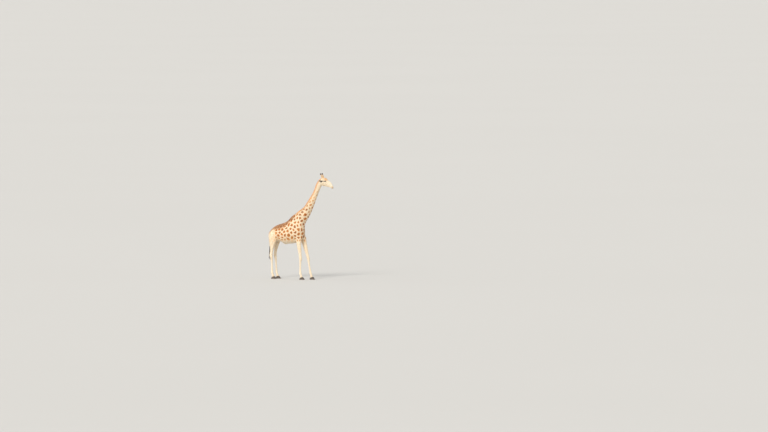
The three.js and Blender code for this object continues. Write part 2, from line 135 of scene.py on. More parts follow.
def with_modifier(thing, kind, **settings):
    """Applies one modifier, and leaves a plain mesh in the same object."""
    modifier = thing.modifiers.new(kind.lower(), kind)
    for key, value in settings.items():
        setattr(modifier, key, value)
    graph = bpy.context.evaluated_depsgraph_get()
    result = bpy.data.meshes.new_from_object(thing.evaluated_get(graph))
    thing.modifiers.clear()
    thing.data = result
    return thing


skin = as_object("skin", joined_copy(FLESH + EYES, SWELL))
with_modifier(skin, "REMESH", mode="VOXEL", voxel_size=VOXEL)
print("blank skin:", len(skin.data.vertices), "vertices")


# %% Keep the outer shell and divide the fine places
def largest_island(build):
    unseen, best = set(build.verts), []
    while unseen:
        island, front = [], [unseen.pop()]
        while front:
            vert = front.pop()
            island.append(vert)
            for edge in vert.link_edges:
                other = edge.other_vert(vert)
                if other in unseen:
                    unseen.remove(other)
                    front.append(other)
        best = max(best, island, key=len)
    return set(best)


def divide(build, wanted):
    """Halves the edges of the faces whose centre `wanted` picks."""
    build.edges.index_update()
    faces = [face for face in build.faces if wanted(face.calc_center_median())]
    edges = {edge.index: edge for face in faces for edge in face.edges}
    bmesh.ops.subdivide_edges(build, edges=[edges[i] for i in sorted(edges)], cuts=1, use_grid_fill=True)


def near_eye(place, reach):
    return min((place - Vector(c)).length for c in eye_centre.values()) < reach


def on_head(place, from_u=-0.02):
    from_poll = np.array(place) - poll
    return place.z > HEAD_FLOOR and from_poll @ ahead > from_u and from_poll @ above > -0.26


HEAD_FLOOR = 3.70
KNEE_TOP = 1.02
TAIL_X, TAIL_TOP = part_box("tail")[0].x + 0.075, 1.80
skin_build = bmesh.new()
skin_build.from_mesh(skin.data)
shell = largest_island(skin_build)
loose = [vert for vert in skin_build.verts if vert not in shell]
bmesh.ops.delete(skin_build, geom=loose, context="VERTS")
divide(skin_build, lambda p: p.z < KNEE_TOP or (p.x < TAIL_X and p.z < TAIL_TOP))
divide(skin_build, on_head)
divide(skin_build, lambda p: on_head(p, 0.0))
divide(skin_build, lambda p: near_eye(p, 0.040) or on_head(p, 0.585))
divide(skin_build, lambda p: near_eye(p, 0.030))
bmesh.ops.triangulate(skin_build, faces=skin_build.faces)
skin_build.to_mesh(skin.data)
skin_build.free()
print("skin:", len(skin.data.vertices), "vertices,", len(skin.data.polygons), "triangles")
print("loose points taken out:", len(loose))


# %% [markdown]
# ## Smooth it, and set it inside the hair's tips
# The blank still shows the flat faces it was cut from. Averaging each point with its neighbours
# takes them away, but it also shrinks thin parts such as the legs. So the depth of each point
# under the solids is measured, the error from the wanted depth is itself smoothed, and the skin
# is moved out by that. The solids reach out to the tips of the coat, so the skin lies inside
# them by the coat's depth: 5 mm on the trunk, less on the face and the legs.

# %% A hide that can be smoothed
def read(items, key, kind=np.float32, width=1):
    """One value, or one row of `width` values, for each point, edge or corner of a mesh."""
    values = np.empty(len(items) * width, kind)
    items.foreach_get(key, values)
    return values.reshape(-1, width) if width > 1 else values


class Hide:
    """The skin's points and neighbours as arrays, so that any field over it can be smoothed."""

    def __init__(self, mesh):
        self.mesh = mesh
        self.place = read(mesh.vertices, "co", width=3).astype(float)
        self.one, self.other = read(mesh.edges, "vertices", np.int32, 2).T
        self.faces = read(mesh.loops, "vertex_index", np.int32).reshape(-1, 3)
        count = len(self.place)
        self.degree = np.bincount(self.one, minlength=count) + np.bincount(self.other, minlength=count)

    def around(self, field):
        if field.ndim > 1:
            return np.stack([self.around(column) for column in field.T], axis=1)
        count = len(self.degree)
        total = np.bincount(self.one, field[self.other], count)
        total += np.bincount(self.other, field[self.one], count)
        return total / self.degree

    def smoothed(self, field, rounds, share=0.5):
        share = share[:, None] if np.ndim(share) and field.ndim > 1 else share
        for _ in range(rounds):
            field = field + (self.around(field) - field) * share
        return field

    def normals(self):
        a, b, c = (self.place[self.faces[:, k]] for k in range(3))
        tilt = np.cross(b - a, c - a)
        total = np.zeros_like(self.place)
        for axis in range(3):
            for k in range(3):
                total[:, axis] += np.bincount(self.faces[:, k], tilt[:, axis], len(total))
        return total / np.maximum(np.linalg.norm(total, axis=1), 1e-12)[:, None]

    def tree(self):
        return BVHTree.FromPolygons(self.place.tolist(), self.faces.tolist())

    def write(self):
        self.mesh.vertices.foreach_set("co", self.place.astype(np.float32).ravel())
        self.mesh.update()


def hump(distance):
    """A soft bell: 1 at no distance, about a third at distance 1."""
    return np.exp(-np.square(distance))


def step(value, low, high):
    """Smooth step from 0 at low to 1 at high."""
    t = np.clip((value - low) / (high - low), 0, 1)
    return t * t * (3 - 2 * t)


def share_of_head(points):
    """1 on the head and 0 on the neck, with a soft passage between them."""
    u, v, _ = head_coordinates(points)
    return step(u, -0.03, 0.03) * step(points[:, 2], HEAD_FLOOR, 3.80) * step(v, -0.30, -0.22)


# %% Smooth the blank
hide = Hide(skin.data)
blank = hide.tree()
head_share = share_of_head(hide.place)

# Where the tops of the legs meet the trunk the solids leave a ledge, which real muscle bridges.
LEG_TOPS = [(0.03, 1.98, 0.17), (-0.03, 1.92, 0.17), (-1.27, 1.94, 0.20), (-1.13, 1.90, 0.16)]
SOFT_FOLDS = [(0.915, 4.02, 0.12), (-1.37, 1.60, 0.12)]  # throat, and under the buttock


def round_spot(spot):
    at_x, at_z, reach = spot
    return hump(np.hypot(hide.place[:, 0] - at_x, hide.place[:, 2] - at_z) / reach)


ledge = np.clip(sum(map(round_spot, LEG_TOPS)), 0, 1) * step(np.abs(hide.place[:, 1]), 0.05, 0.12)
for spot in SOFT_FOLDS:
    ledge = np.maximum(ledge, 0.8 * round_spot(spot))

hide.place = hide.smoothed(hide.place, 40)
hide.place = hide.smoothed(hide.place, 110, 0.5 * head_share)
hide.place = hide.smoothed(hide.place, 160, 0.5 * ledge)
print("smoothed; the ledges cover", int((ledge > 0.5).sum()), "points")


# %% Set the skin's depth
def height_over(tree, points):
    """How far each point stands over the tree's surface (negative inside), and which way that faces."""
    height, normals = np.empty(len(points)), np.empty((len(points), 3))
    for i, point in enumerate(points):
        near, normal, _, distance = tree.find_nearest(point)
        height[i] = -distance if (near - Vector(point)).dot(normal) > 0 else distance
        normals[i] = normal
    return height, normals


COAT_DEPTH = {"trunk": 0.005, "legs": 0.0035, "head": 0.003}
leg_share = 1 - step(hide.place[:, 2], 1.2, 1.7)
wanted = COAT_DEPTH["trunk"] + (COAT_DEPTH["legs"] - COAT_DEPTH["trunk"]) * leg_share
wanted += (COAT_DEPTH["head"] - COAT_DEPTH["trunk"]) * head_share
for turn in range(2):
    error = hide.smoothed(-height_over(blank, hide.place)[0] - wanted, 20)
    error = hide.smoothed(error, 260, 0.5 * np.maximum(head_share, ledge))
    hide.place += hide.normals() * error[:, None]
    print("mean depth error, mm:", round(float(np.abs(error).mean()) * 1000, 2))

# Voxels leave a few points that stick out: where a point stands off from its neighbours by a
# large share of their distance, it is drawn back to them.
for turn in range(15):
    pull = hide.around(hide.place) - hide.place
    reach = np.linalg.norm(hide.place[hide.one] - hide.place[hide.other], axis=1)
    edges_at = np.bincount(hide.one, minlength=len(pull))
    reach = np.bincount(hide.one, reach, len(pull)) / np.maximum(edges_at, 1)
    off = np.linalg.norm(pull, axis=1) / np.maximum(reach, 1e-4)
    hide.place += pull * (0.8 * step(off, 0.10, 0.25))[:, None]
hide.place = hide.smoothed(hide.place, 6)

# %% [markdown]
# ## Muscle and bone
# A hide is never a plain tube: muscle swells it and bone pushes it out at the joints. In a
# sculpting program these would be brush strokes. Here each one is a named bump with a place, a
# size and a height, so it can be read, moved and mirrored: on the trunk by x and z, on a leg by
# its height and its direction round the leg (0 in front, 90 outside), on the head by u and v.

# %% Bumps on the trunk and neck
# (x, z, half width, half length, lean in degrees forwards from upright, rise in mm)
TRUNK_FORMS = [
    (-0.14, 2.38, 0.030, 0.260, -32, 7),    # ridge of the shoulder blade
    (-0.33, 2.22, 0.060, 0.260, -24, -11),  # hollow behind it
    (0.085, 2.03, 0.060, 0.085, 0, 9),      # point of the shoulder
    (-0.09, 1.90, 0.075, 0.130, 35, 10),    # triceps
    (-0.200, 1.76, 0.026, 0.120, 10, -9),   # crease behind the elbow
    (0.035, 2.26, 0.030, 0.200, -28, -7),   # groove between neck and shoulder
    (-0.55, 1.86, 0.220, 0.200, 0, 6),      # barrel of the ribs
    (-0.935, 2.03, 0.070, 0.130, 0, -13),   # hollow of the flank
    (-1.075, 2.150, 0.042, 0.045, 0, 12),   # hip bone
    (-1.22, 2.03, 0.085, 0.100, 0, 7),      # rump muscle
    (-1.34, 1.80, 0.020, 0.190, -10, -6),   # groove down the back of the thigh
    (-1.13, 1.80, 0.080, 0.160, 0, 6),      # front of the thigh
    (-1.045, 1.585, 0.050, 0.055, 0, 8),    # stifle
    (-0.955, 1.655, 0.028, 0.085, 50, 9),   # fold of skin from stifle to flank
    (0.36, 2.72, 0.024, 0.330, 36, -6),     # jugular groove, low on the neck
    (0.68, 3.35, 0.015, 0.420, 27, -4),     # and higher up
    (0.17, 2.50, 0.050, 0.120, 30, 6),      # root of the neck
]
RIBS = {"from": -0.86, "to": -0.34, "pitch": 0.058, "rise": 0.0016}


def turned(across, along, degrees):
    c, s = math.cos(math.radians(degrees)), math.sin(math.radians(degrees))
    return across * c - along * s, across * s + along * c


x, y, z = hide.place.T
sideways = step(np.abs(hide.normals()[:, 1]), 0.15, 0.6)
lift = np.zeros(len(x))
for at_x, at_z, long, high, degrees, rise in TRUNK_FORMS:
    across, along = turned(x - at_x, z - at_z, degrees)
    lift += rise / 1000 * hump(np.hypot(across / long, along / high)) * sideways
rib_zone = step(x, RIBS["from"], RIBS["from"] + 0.1) * (1 - step(x, RIBS["to"] - 0.1, RIBS["to"]))
rib_zone *= step(z, 1.58, 1.75) * (1 - step(z, 2.05, 2.2)) * sideways
lift += RIBS["rise"] * rib_zone * np.sin((x + 0.25 * (z - 1.8)) * 2 * math.pi / RIBS["pitch"])
print("trunk forms:", len(TRUNK_FORMS), "highest, mm:", round(float(lift.max()) * 1000, 1))


# %% Bumps on the legs
LEG_TOP, MIDDLE_X = 1.62, -0.6


def leg_of(points):
    """For each point the leg it belongs to, 0 to 3, or -1: by its corner and its height."""
    x, y, z = points.T
    return np.where(z < LEG_TOP, np.where(x > MIDDLE_X, 0, 2) + np.where(y > 0, 0, 1), -1)


def leg_lines(points, which):
    """Middle of each leg at each height, as a function that gives x and y."""
    heights = np.arange(0.07, LEG_TOP, 0.05)
    lines = []
    for leg in range(4):
        mine = points[which == leg]
        rows = [mine[np.abs(mine[:, 2] - h) < 0.03] for h in heights]
        lines.append(np.array([(row.max(0) + row.min(0))[:2] / 2 for row in rows]))
    return heights, lines


which = leg_of(hide.place)
heights, lines = leg_lines(hide.place, which)
bearing = np.zeros(len(x))
for leg in range(4):
    mine = which == leg
    ahead_by = x[mine] - np.interp(z[mine], heights, lines[leg][:, 0])
    out_by = (y[mine] - np.interp(z[mine], heights, lines[leg][:, 1])) * (1, -1, 1, -1)[leg]
    bearing[mine] = np.degrees(np.arctan2(out_by, ahead_by))

# (height, bearing, half height, half width in degrees, rise in mm)
FORELEG_FORMS = [
    (1.46, 55, 0.17, 50, 8), (1.40, -110, 0.15, 45, 5), (1.32, 130, 0.14, 16, -4),  # forearm
    (0.885, 0, 0.050, 60, 5), (0.870, 90, 0.045, 32, 5), (0.870, -90, 0.045, 32, 5),  # knee
    (0.925, 180, 0.032, 34, 8), (0.955, 80, 0.022, 28, -3), (0.805, 0, 0.020, 45, -2),
    (0.56, 180, 0.26, 24, 4),  # tendon
]
HINDLEG_FORMS = [
    (1.36, 50, 0.15, 50, 7), (1.40, 140, 0.13, 30, 4),  # gaskin
    (1.12, 118, 0.100, 22, -11), (1.12, -118, 0.100, 22, -11),  # hollow before the tendon
    (1.14, 180, 0.120, 22, 4), (0.992, 180, 0.040, 34, 10),  # tendon and the point of the hock
    (0.930, 80, 0.050, 38, 5), (0.930, -80, 0.050, 38, 5), (0.955, 0, 0.045, 40, -3),
    (0.55, 180, 0.26, 24, 4),
]
FOOT_FORMS = [
    (0.54, 128, 0.22, 15, -4), (0.54, -128, 0.22, 15, -4),  # grooves beside the tendon
    (0.268, 90, 0.032, 38, 5), (0.268, -90, 0.032, 38, 5), (0.245, 180, 0.034, 42, 7),  # fetlock
    (0.165, 180, 0.030, 45, -4), (0.105, 0, 0.016, 80, 2),  # pastern and the rim over the hoof
]
for forms, legs in ((FORELEG_FORMS, (0, 1)), (HINDLEG_FORMS, (2, 3))):
    mine = np.isin(which, legs)
    for at_z, towards, high, wide, rise in forms + FOOT_FORMS:
        away = np.abs((bearing[mine] - towards + 180) % 360 - 180)
        lift[mine] += rise / 1000 * hump(np.hypot((z[mine] - at_z) / high, away / wide))
hide.place += hide.normals() * hide.smoothed(lift, 2)[:, None]
print("leg forms:", len(FORELEG_FORMS) + len(HINDLEG_FORMS) + len(FOOT_FORMS))

# %% Bumps on the head
# (u, v, u, v, half width, rise in mm): a soft ridge or groove between two places, on both sides
CHEEK_FORMS = [
    (0.125, 0.004, 0.215, 0.004, 0.016, 6),     # cheekbone, from the ear
    (0.215, 0.000, 0.320, -0.020, 0.016, 8),    # and under the eye
    (0.320, -0.020, 0.420, -0.042, 0.018, 6),   # crest of the face
    (0.160, 0.062, 0.175, 0.050, 0.026, -8),    # temple
    (0.185, 0.080, 0.268, 0.078, 0.016, 8),     # brow
    (0.305, 0.028, 0.385, 0.010, 0.026, -9),    # hollow before the eye
    (0.400, 0.012, 0.500, -0.018, 0.026, -4),   # side of the nose
    (0.120, -0.080, 0.175, -0.110, 0.058, 8),   # cheek muscle
    (0.245, -0.045, 0.225, -0.150, 0.014, -5),  # its front edge
    (0.265, -0.070, 0.400, -0.080, 0.032, -4),  # hollow of the cheek
    (0.080, -0.175, 0.215, -0.188, 0.018, 4),   # jaw
    (0.215, -0.188, 0.400, -0.128, 0.014, 4),
    (0.055, -0.020, 0.075, -0.160, 0.018, -6),  # groove behind the jaw
    (0.540, -0.010, 0.600, -0.030, 0.022, 4),   # swell over the nostril
    (0.560, -0.062, 0.635, -0.066, 0.016, 4),   # upper lip
    (0.560, -0.098, 0.615, -0.096, 0.014, 4),   # lower lip
]
# (u, out, u, out, half width, rise in mm): the same, seen from above
BROW_FORMS = [
    (0.280, 0.000, 0.335, 0.000, 0.030, -7),    # dip below the boss
    (0.360, 0.000, 0.520, 0.000, 0.018, 3),     # bridge of the nose
    (0.200, 0.055, 0.270, 0.050, 0.018, 5),     # rim over the eye
    (0.100, 0.000, 0.140, 0.000, 0.020, -3),    # between the horns
    (0.600, 0.000, 0.650, 0.000, 0.007, -2),    # groove down the upper lip
]


def from_line(a, b, start, end):
    """Distance of the places (a, b) from the line between start and end."""
    run = np.subtract(end, start)
    t = np.clip(((a - start[0]) * run[0] + (b - start[1]) * run[1]) / (run @ run), 0, 1)
    return np.hypot(a - start[0] - t * run[0], b - start[1] - t * run[1])


u, v, out = head_coordinates(hide.place)
tilt = hide.normals()
on_side = step(np.abs(tilt[:, 1]), 0.2, 0.6) * (head_share > 0.01)
on_top = step(tilt @ above, 0.2, 0.6) * (head_share > 0.01)
lift = np.zeros(len(u))
for forms, aside, share in ((CHEEK_FORMS, v, on_side), (BROW_FORMS, np.abs(out), on_top)):
    for u1, aside1, u2, aside2, wide, rise in forms:
        lift += rise / 1000 * hump(from_line(u, aside, (u1, aside1), (u2, aside2)) / wide) * share
hide.place += tilt * hide.smoothed(lift, 2)[:, None]
print("head forms:", len(CHEEK_FORMS) + len(BROW_FORMS))


# %% [markdown]
# ## Ears
# An ear is a thin cupped leaf on a tube of gristle. The voxels are too coarse for it, so each
# ear is lofted by its own rule: a width that swells and then closes to the tip, and a cup that
# opens forwards. Then a boolean union makes it one surface with the skin, and the few rows of
# points round its root are averaged, so that it grows out of the head without an edge.

# %% Loft the ears and join them to the skin
EAR = {"u": 0.138, "v": -0.012, "out": 0.082, "length": 0.208, "width": 0.088, "cup": 0.024,
       "wall": 0.0052}
EAR_ROOT = -0.14
EAR_ROWS, EAR_COLUMNS = 40, 17


def ear_frame(side):
    """Root of an ear, and its directions: along it, the way its opening faces, and across."""
    root = head_place(EAR["u"], EAR["v"], EAR["out"] * SIDES[side])
    along = np.array([-0.6, 0.79 * SIDES[side], 0.12])
    along /= np.linalg.norm(along)
    opening = np.array([0.78, 0.30 * SIDES[side], -0.38])
    opening -= along * (opening @ along)
    opening /= np.linalg.norm(opening)
    return root, along, opening, np.cross(opening, along)


def ear_half_width(t):
    leaf = 0.42 + 0.58 * np.sin(np.pi * np.clip(0.9 * t + 0.12, 0.05, 1)) ** 0.8
    return EAR["width"] / 2 * leaf * np.sqrt(np.clip(1 - np.clip(t, 0, 1) ** 5, 0.012, 1))


def ear_cup(t, w):
    """Height of the ear's middle sheet, t along it and w across it."""
    return EAR["cup"] * (1 - 0.55 * np.maximum(t, 0)) * (w * w - 1)


def ear_blank(side):
    root, along, opening, across = ear_frame(side)
    build = bmesh.new()
    rings = []
    for t in np.linspace(EAR_ROOT, 1, EAR_ROWS):
        half = ear_half_width(t)
        wall = EAR["wall"] * (1.5 - 0.8 * t) * min(1, 5 * (1.02 - t)) / 2
        ring = []
        for depth, start in ((wall, 1), (-wall, -1)):
            for w in np.linspace(start, -start, EAR_COLUMNS):
                fold = 0.0016 * math.cos(5 * math.pi * w) * (1 - abs(w)) * (1 - t)
                bend = ear_cup(t, w) + depth * math.sqrt(1 - 0.85 * w * w) + fold
                place = root + along * (EAR["length"] * t) + across * (half * w) + opening * bend
                ring.append(build.verts.new(place))
        rings.append(ring)
    for ring, following in zip(rings, rings[1:]):
        for k in range(len(ring)):
            j = (k + 1) % len(ring)
            build.faces.new((ring[k], ring[j], following[j], following[k]))
    build.faces.new(rings[0][::-1])
    build.faces.new(rings[-1])
    bmesh.ops.triangulate(build, faces=build.faces)
    bmesh.ops.recalc_face_normals(build, faces=build.faces)
    return as_object(f"ear_blank_{side}", build)


hide.write()
for side in SIDES:
    ear = ear_blank(side)
    with_modifier(skin, "BOOLEAN", operation="UNION", solver="EXACT", object=ear)
    bpy.data.objects.remove(ear)
joined = bmesh.new()
joined.from_mesh(skin.data)
bmesh.ops.dissolve_degenerate(joined, dist=2e-4, edges=joined.edges)
bmesh.ops.triangulate(joined, faces=joined.faces)
open_edges = sum(1 for edge in joined.edges if len(edge.link_faces) != 2)
joined.to_mesh(skin.data)
joined.free()
hide = Hide(skin.data)
head_share = share_of_head(hide.place)


def ear_coordinates(points, side):
    """t along an ear (0 root, 1 tip), w across it (-1 to 1), and height over its middle sheet."""
    root, along, opening, across = ear_frame(side)
    spoke = points - root
    t = spoke @ along / EAR["length"]
    w = spoke @ across / ear_half_width(t)
    return t, w, spoke @ opening - ear_cup(t, w)


near_root = np.zeros(len(hide.place))
for side in SIDES:
    root, along, opening, _ = ear_frame(side)
    spoke = hide.place - (root + along * 0.012 - opening * 0.012)
    near_root = np.maximum(near_root, 1 - step(np.linalg.norm(spoke, axis=1), 0.030, 0.058))
hide.place = hide.smoothed(hide.place, 10, 0.5 * near_root)
print("skin with ears:", len(hide.faces), "triangles; edges left open:", open_edges)


# %% [markdown]
# ## Lips, nostrils and eyelids
# A giraffe's mouth is a long slit with a heavy upper lip, its nostrils are slots that it can
# shut, and its big eyes bulge from the head under thick lids. The solids only mark their
# places. Cutting them would leave ragged edges, so the skin's own points are moved: down into a
# groove for the mouth and nostrils, and onto a ball a little larger than the eye for the lids,
# with the almond between them pushed back behind the eyeball.

# %% Mouth and nostrils
MOUTH_LINE = [(0.470, -0.104), (0.530, -0.094), (0.590, -0.084), (0.630, -0.078), (0.660, -0.074)]
NOSTRIL_LINE = [(0.573, -0.012), (0.590, -0.019), (0.607, -0.031), (0.617, -0.043)]
MOUTH = {"half width": 0.0032, "depth": 0.0075}
NOSTRIL = {"half width": 0.0034, "depth": 0.013}


def from_path(a, b, path):
    return np.min([from_line(a, b, start, end) for start, end in zip(path, path[1:])], axis=0)


u, v, out = head_coordinates(hide.place)
tilt = hide.normals()
face = head_share > 0.5
gape = from_path(u, v, MOUTH_LINE)
gape_share = step(u, 0.470, 0.520) * face
slot = from_path(u, v, NOSTRIL_LINE)
slot_share = step(np.abs(tilt[:, 1]), 0.15, 0.4) * face
lift = -MOUTH["depth"] * hump(gape / MOUTH["half width"]) * gape_share
lift += 0.0030 * hump((gape - 0.012) / 0.007) * gape_share
lift -= NOSTRIL["depth"] * hump(slot / NOSTRIL["half width"]) * slot_share
lift += 0.0035 * hump((slot - 0.011) / 0.006) * slot_share
hide.place += tilt * lift[:, None]
print("mouth and nostrils, points moved:", int((np.abs(lift) > 0.001).sum()))

# %% Eyelids
LIDS = {"radius": 0.0245, "behind": 0.0165, "half length": 66, "upper": 34, "lower": 26}
EYE_RING = {"half length": 0.036, "half height": 0.026}


def eye_frame(side):
    """Axes of an eye: out of the head, along the slit of the lids, and up."""
    outwards = 0.24 * ahead + 0.02 * above + np.array([0, 0.97 * SIDES[side], 0])
    outwards /= np.linalg.norm(outwards)
    slit = ahead * math.cos(math.radians(10)) + above * math.sin(math.radians(10))
    slit -= outwards * (slit @ outwards)
    slit /= np.linalg.norm(slit)
    up = np.cross(slit, outwards) * SIDES[side]
    return outwards, slit, up


def lid_angles(along):
    """Heights of the upper and the lower lid's edge at a place along the slit, in degrees."""
    arch = np.clip(1 - (along / LIDS["half length"]) ** 2, 0, 1) ** 0.75
    lean = 1 + 0.18 * along / LIDS["half length"]
    return LIDS["upper"] * arch * lean, -LIDS["lower"] * arch / lean


lid_edge = np.full(len(hide.place), -90.0)
eye_ring = np.zeros(len(hide.place))
round_lids = np.zeros(len(hide.place))
for side in SIDES:
    outwards, slit, up = eye_frame(side)
    spoke = hide.place - eye_centre[side]
    length = np.linalg.norm(spoke, axis=1)
    near = np.flatnonzero((length < 0.075) & (spoke @ outwards > 0))
    spoke, length = spoke[near], length[near]
    along = np.degrees(np.arctan2(spoke @ slit, spoke @ outwards))
    rise = np.degrees(np.arcsin(np.clip(spoke @ up / length, -1, 1)))
    upper, lower = lid_angles(along)
    close = 1 - step(length, 0.034, 0.060)
    snap = 2.2 * (np.abs(along) < LIDS["half length"] - 3) * (close > 0.9)
    rise = np.where(np.abs(rise - upper) < snap, upper, rise)
    rise = np.where(np.abs(rise - lower) < snap, lower, rise)
    to_corner = 0.8 * (LIDS["half length"] - np.abs(along))
    within = np.minimum(np.minimum(upper - rise, rise - lower), to_corner)
    ball = LIDS["radius"] + 0.0012 * hump((within + 8) / 6)
    ball -= (LIDS["radius"] - LIDS["behind"]) * step(within, 0.3, 4)
    ball -= 0.0016 * hump((within + 21) / 5) * step(rise, 0, 20)
    hold = step(within, -62, -12) * close
    reach = length + (ball - length) * hold
    flat = np.cos(np.radians(rise))
    a, r = np.radians(along), np.radians(rise)
    way = np.outer(flat * np.cos(a), outwards) + np.outer(flat * np.sin(a), slit)
    way += np.outer(np.sin(r), up)
    moved = eye_centre[side] + way * reach[:, None]
    hide.place[near] += (moved - hide.place[near]) * np.where(hold > 0, 1, 0)[:, None]
    lid_edge[near] = np.maximum(lid_edge[near], within)
    from_eye = hide.place[near] - eye_centre[side]
    ring_at = np.hypot(from_eye @ slit / EYE_RING["half length"], from_eye @ up / EYE_RING["half height"])
    eye_ring[near] = np.maximum(eye_ring[near], 1 - step(ring_at, 0.8, 1.25))
    beside = step(-within, 14, 26) * (1 - step(length, 0.055, 0.070))
    round_lids[near] = np.maximum(round_lids[near], beside)
hide.place = hide.smoothed(hide.place, 14, 0.5 * round_lids)
hide.write()
print("eyelids: points behind the eyes:", int((lid_edge > 0).sum()))

# %% [markdown]
# ## Which way the hair lies
# Every hair of the coat has a root and a direction. On a giraffe it lies back along the trunk,
# down the neck and the legs, and from the muzzle up to the horns. Combing by hand is one way;
# here each region of the body gives a direction, the directions are smoothed over the skin so
# that they flow into each other, and each is laid flat on the surface.

# %% Regions and lie
NECK_DOWN = np.array([-0.488, 0, -0.873])
NECK_FORWARDS = np.array([0.873, 0, -0.488])
NECK_BASE = np.array([0.02, 0, 2.50])
REGIONS = [f"{part}_{side}" for part in ("head", "neck", "trunk") for side in SIDES]
REGIONS += ["forelegs", "hindlegs"]


def up_the_neck(points):
    return -(points - NECK_BASE) @ NECK_DOWN


x, y, z = hide.place.T
u, v, out = head_coordinates(hide.place)
up_neck = up_the_neck(hide.place)
ears = [ear_coordinates(hide.place, side) for side in SIDES]
on_ear = np.max([(t > 0.08) & (t < 1.05) & (np.abs(w) < 1.2) & (np.abs(h) < 0.02)
                 for t, w, h in ears], axis=0)
on_tail = (x < TAIL_X) & (z < TAIL_TOP)
leg_share = 1 - step(z, 1.42, 1.66)

lie = np.tile([-0.80, 0.0, -0.60], (len(x), 1))
lie = lie + (NECK_DOWN - lie) * step(up_neck, -0.20, 0.25)[:, None]
lie = lie + (np.array([-0.05, 0, -1.0]) - lie) * np.maximum(leg_share, on_tail)[:, None]
lie = lie + (-ahead - 0.25 * above - lie) * head_share[:, None]
for side in SIDES:
    lie[on_ear & (y * SIDES[side] > 0)] = ear_frame(side)[1]
tilt = hide.normals()
lie = hide.smoothed(lie, 12)
lie -= tilt * np.sum(lie * tilt, axis=1)[:, None]
lie /= np.maximum(np.linalg.norm(lie, axis=1), 1e-6)[:, None]

middles = hide.place[hide.faces].mean(axis=1)
mx, my, mz = middles.T
mu, mv, _ = head_coordinates(middles)
face_on_head = (mu > -0.01) & (mv > -0.25) & (mz > HEAD_FLOOR) | on_ear[hide.faces].any(axis=1)
right = np.where(my > 0, 0, 1)
region = np.where(mz < 1.56, np.where(mx > MIDDLE_X, 6, 7), 4 + right)
region = np.where((mx < TAIL_X) & (mz < TAIL_TOP), 7, region)
region = np.where(up_the_neck(middles) > 0, 2 + right, region)
region = np.where(face_on_head, right, region)
a, b, c = (hide.place[hide.faces[:, k]] for k in range(3))
face_area = np.linalg.norm(np.cross(b - a, c - a), axis=1) / 2
region_area = {name: float(face_area[region == k].sum()) for k, name in enumerate(REGIONS)}
print("area, m2:", {name: round(area, 2) for name, area in region_area.items()})

# %% [markdown]
# ## Markings
# A giraffe's blotches are like the cells of a cracked mud flat: each grew from a seed, and pale
# lines are left where two meet. A Voronoi texture cut by a curved surface gives slivers, so the
# seeds are strewn on the skin itself, a set distance apart and closer on the upper neck and the
# legs. Each point of the skin then keeps its distance to the nearest seed and to the next one.
# Skin and hair both read these numbers, so their markings are the same.

# %% Strew the seeds
chance = np.random.default_rng(7)


def spacing(points):
    """Distance between the seeds of the blotches, in metres."""
    px, py, pz = points.T
    wide = 0.168 - 0.028 * step(up_the_neck(points), 0.0, 1.2)
    wide -= 0.045 * (1 - step(pz, 1.35, 1.75)) + 0.025 * (1 - step(pz, 0.5, 1.1))
    wide -= 0.040 * step(-px, 0.35, 0.85) * step(pz, 1.5, 1.7)
    return np.where((px > 0.85) & (pz > 3.75), 0.062, wide)


NORMAL_WEIGHT = 0.35
LEAST_APART = 0.86
seeds, seed_tilts = np.empty((0, 3)), np.empty((0, 3))
apart = spacing(hide.place)
for k in chance.permutation(len(x))[:16000]:
    away = np.linalg.norm(seeds - hide.place[k], axis=1) / apart[k]
    away += NORMAL_WEIGHT * np.linalg.norm(seed_tilts - tilt[k], axis=1)
    if not len(seeds) or away.min() > LEAST_APART:
        seeds = np.vstack([seeds, hide.place[k]])
        seed_tilts = np.vstack([seed_tilts, tilt[k]])
print("seeds of blotches:", len(seeds))


# %% Measure every point from the seeds
def wobble(points, size, reach, shift):
    """Smooth random offsets, so that the edges of the blotches are lobed and not straight."""
    noise.seed_set(7)
    away = Vector((shift, 0, 0))
    return np.array([noise.noise_vector(Vector(p) / size + away) for p in points]) * reach


def two_nearest(points, tilts):
    """Distance to the nearest seed and the next one, in spacings, and which seed it is."""
    first, second, own = [np.empty(len(points)) for _ in range(3)]
    wide = spacing(seeds)
    for start in range(0, len(points), 4000):
        part = slice(start, start + 4000)
        away = np.linalg.norm(points[part, None] - seeds[None], axis=2) / wide
        turn = NORMAL_WEIGHT * np.linalg.norm(tilts[part, None] - seed_tilts[None], axis=2)
        away = np.sqrt(away ** 2 + turn ** 2)
        order = np.argpartition(away, 1, axis=1)[:, :2]
        pair = np.take_along_axis(away, order, axis=1)
        first[part], second[part] = pair.min(axis=1), pair.max(axis=1)
        own[part] = order[np.arange(len(pair)), pair.argmin(axis=1)]
    return first, second, own.astype(int)


bent = hide.place + wobble(hide.place, 0.11, 0.022, 0) + wobble(hide.place, 0.035, 0.007, 40)
first, second, own = two_nearest(bent, hide.smoothed(tilt, 4))
border = second - first
seed_tone = chance.uniform(0, 1, len(seeds))
print("median distance across a border, in spacings:", round(float(np.median(border)), 2))

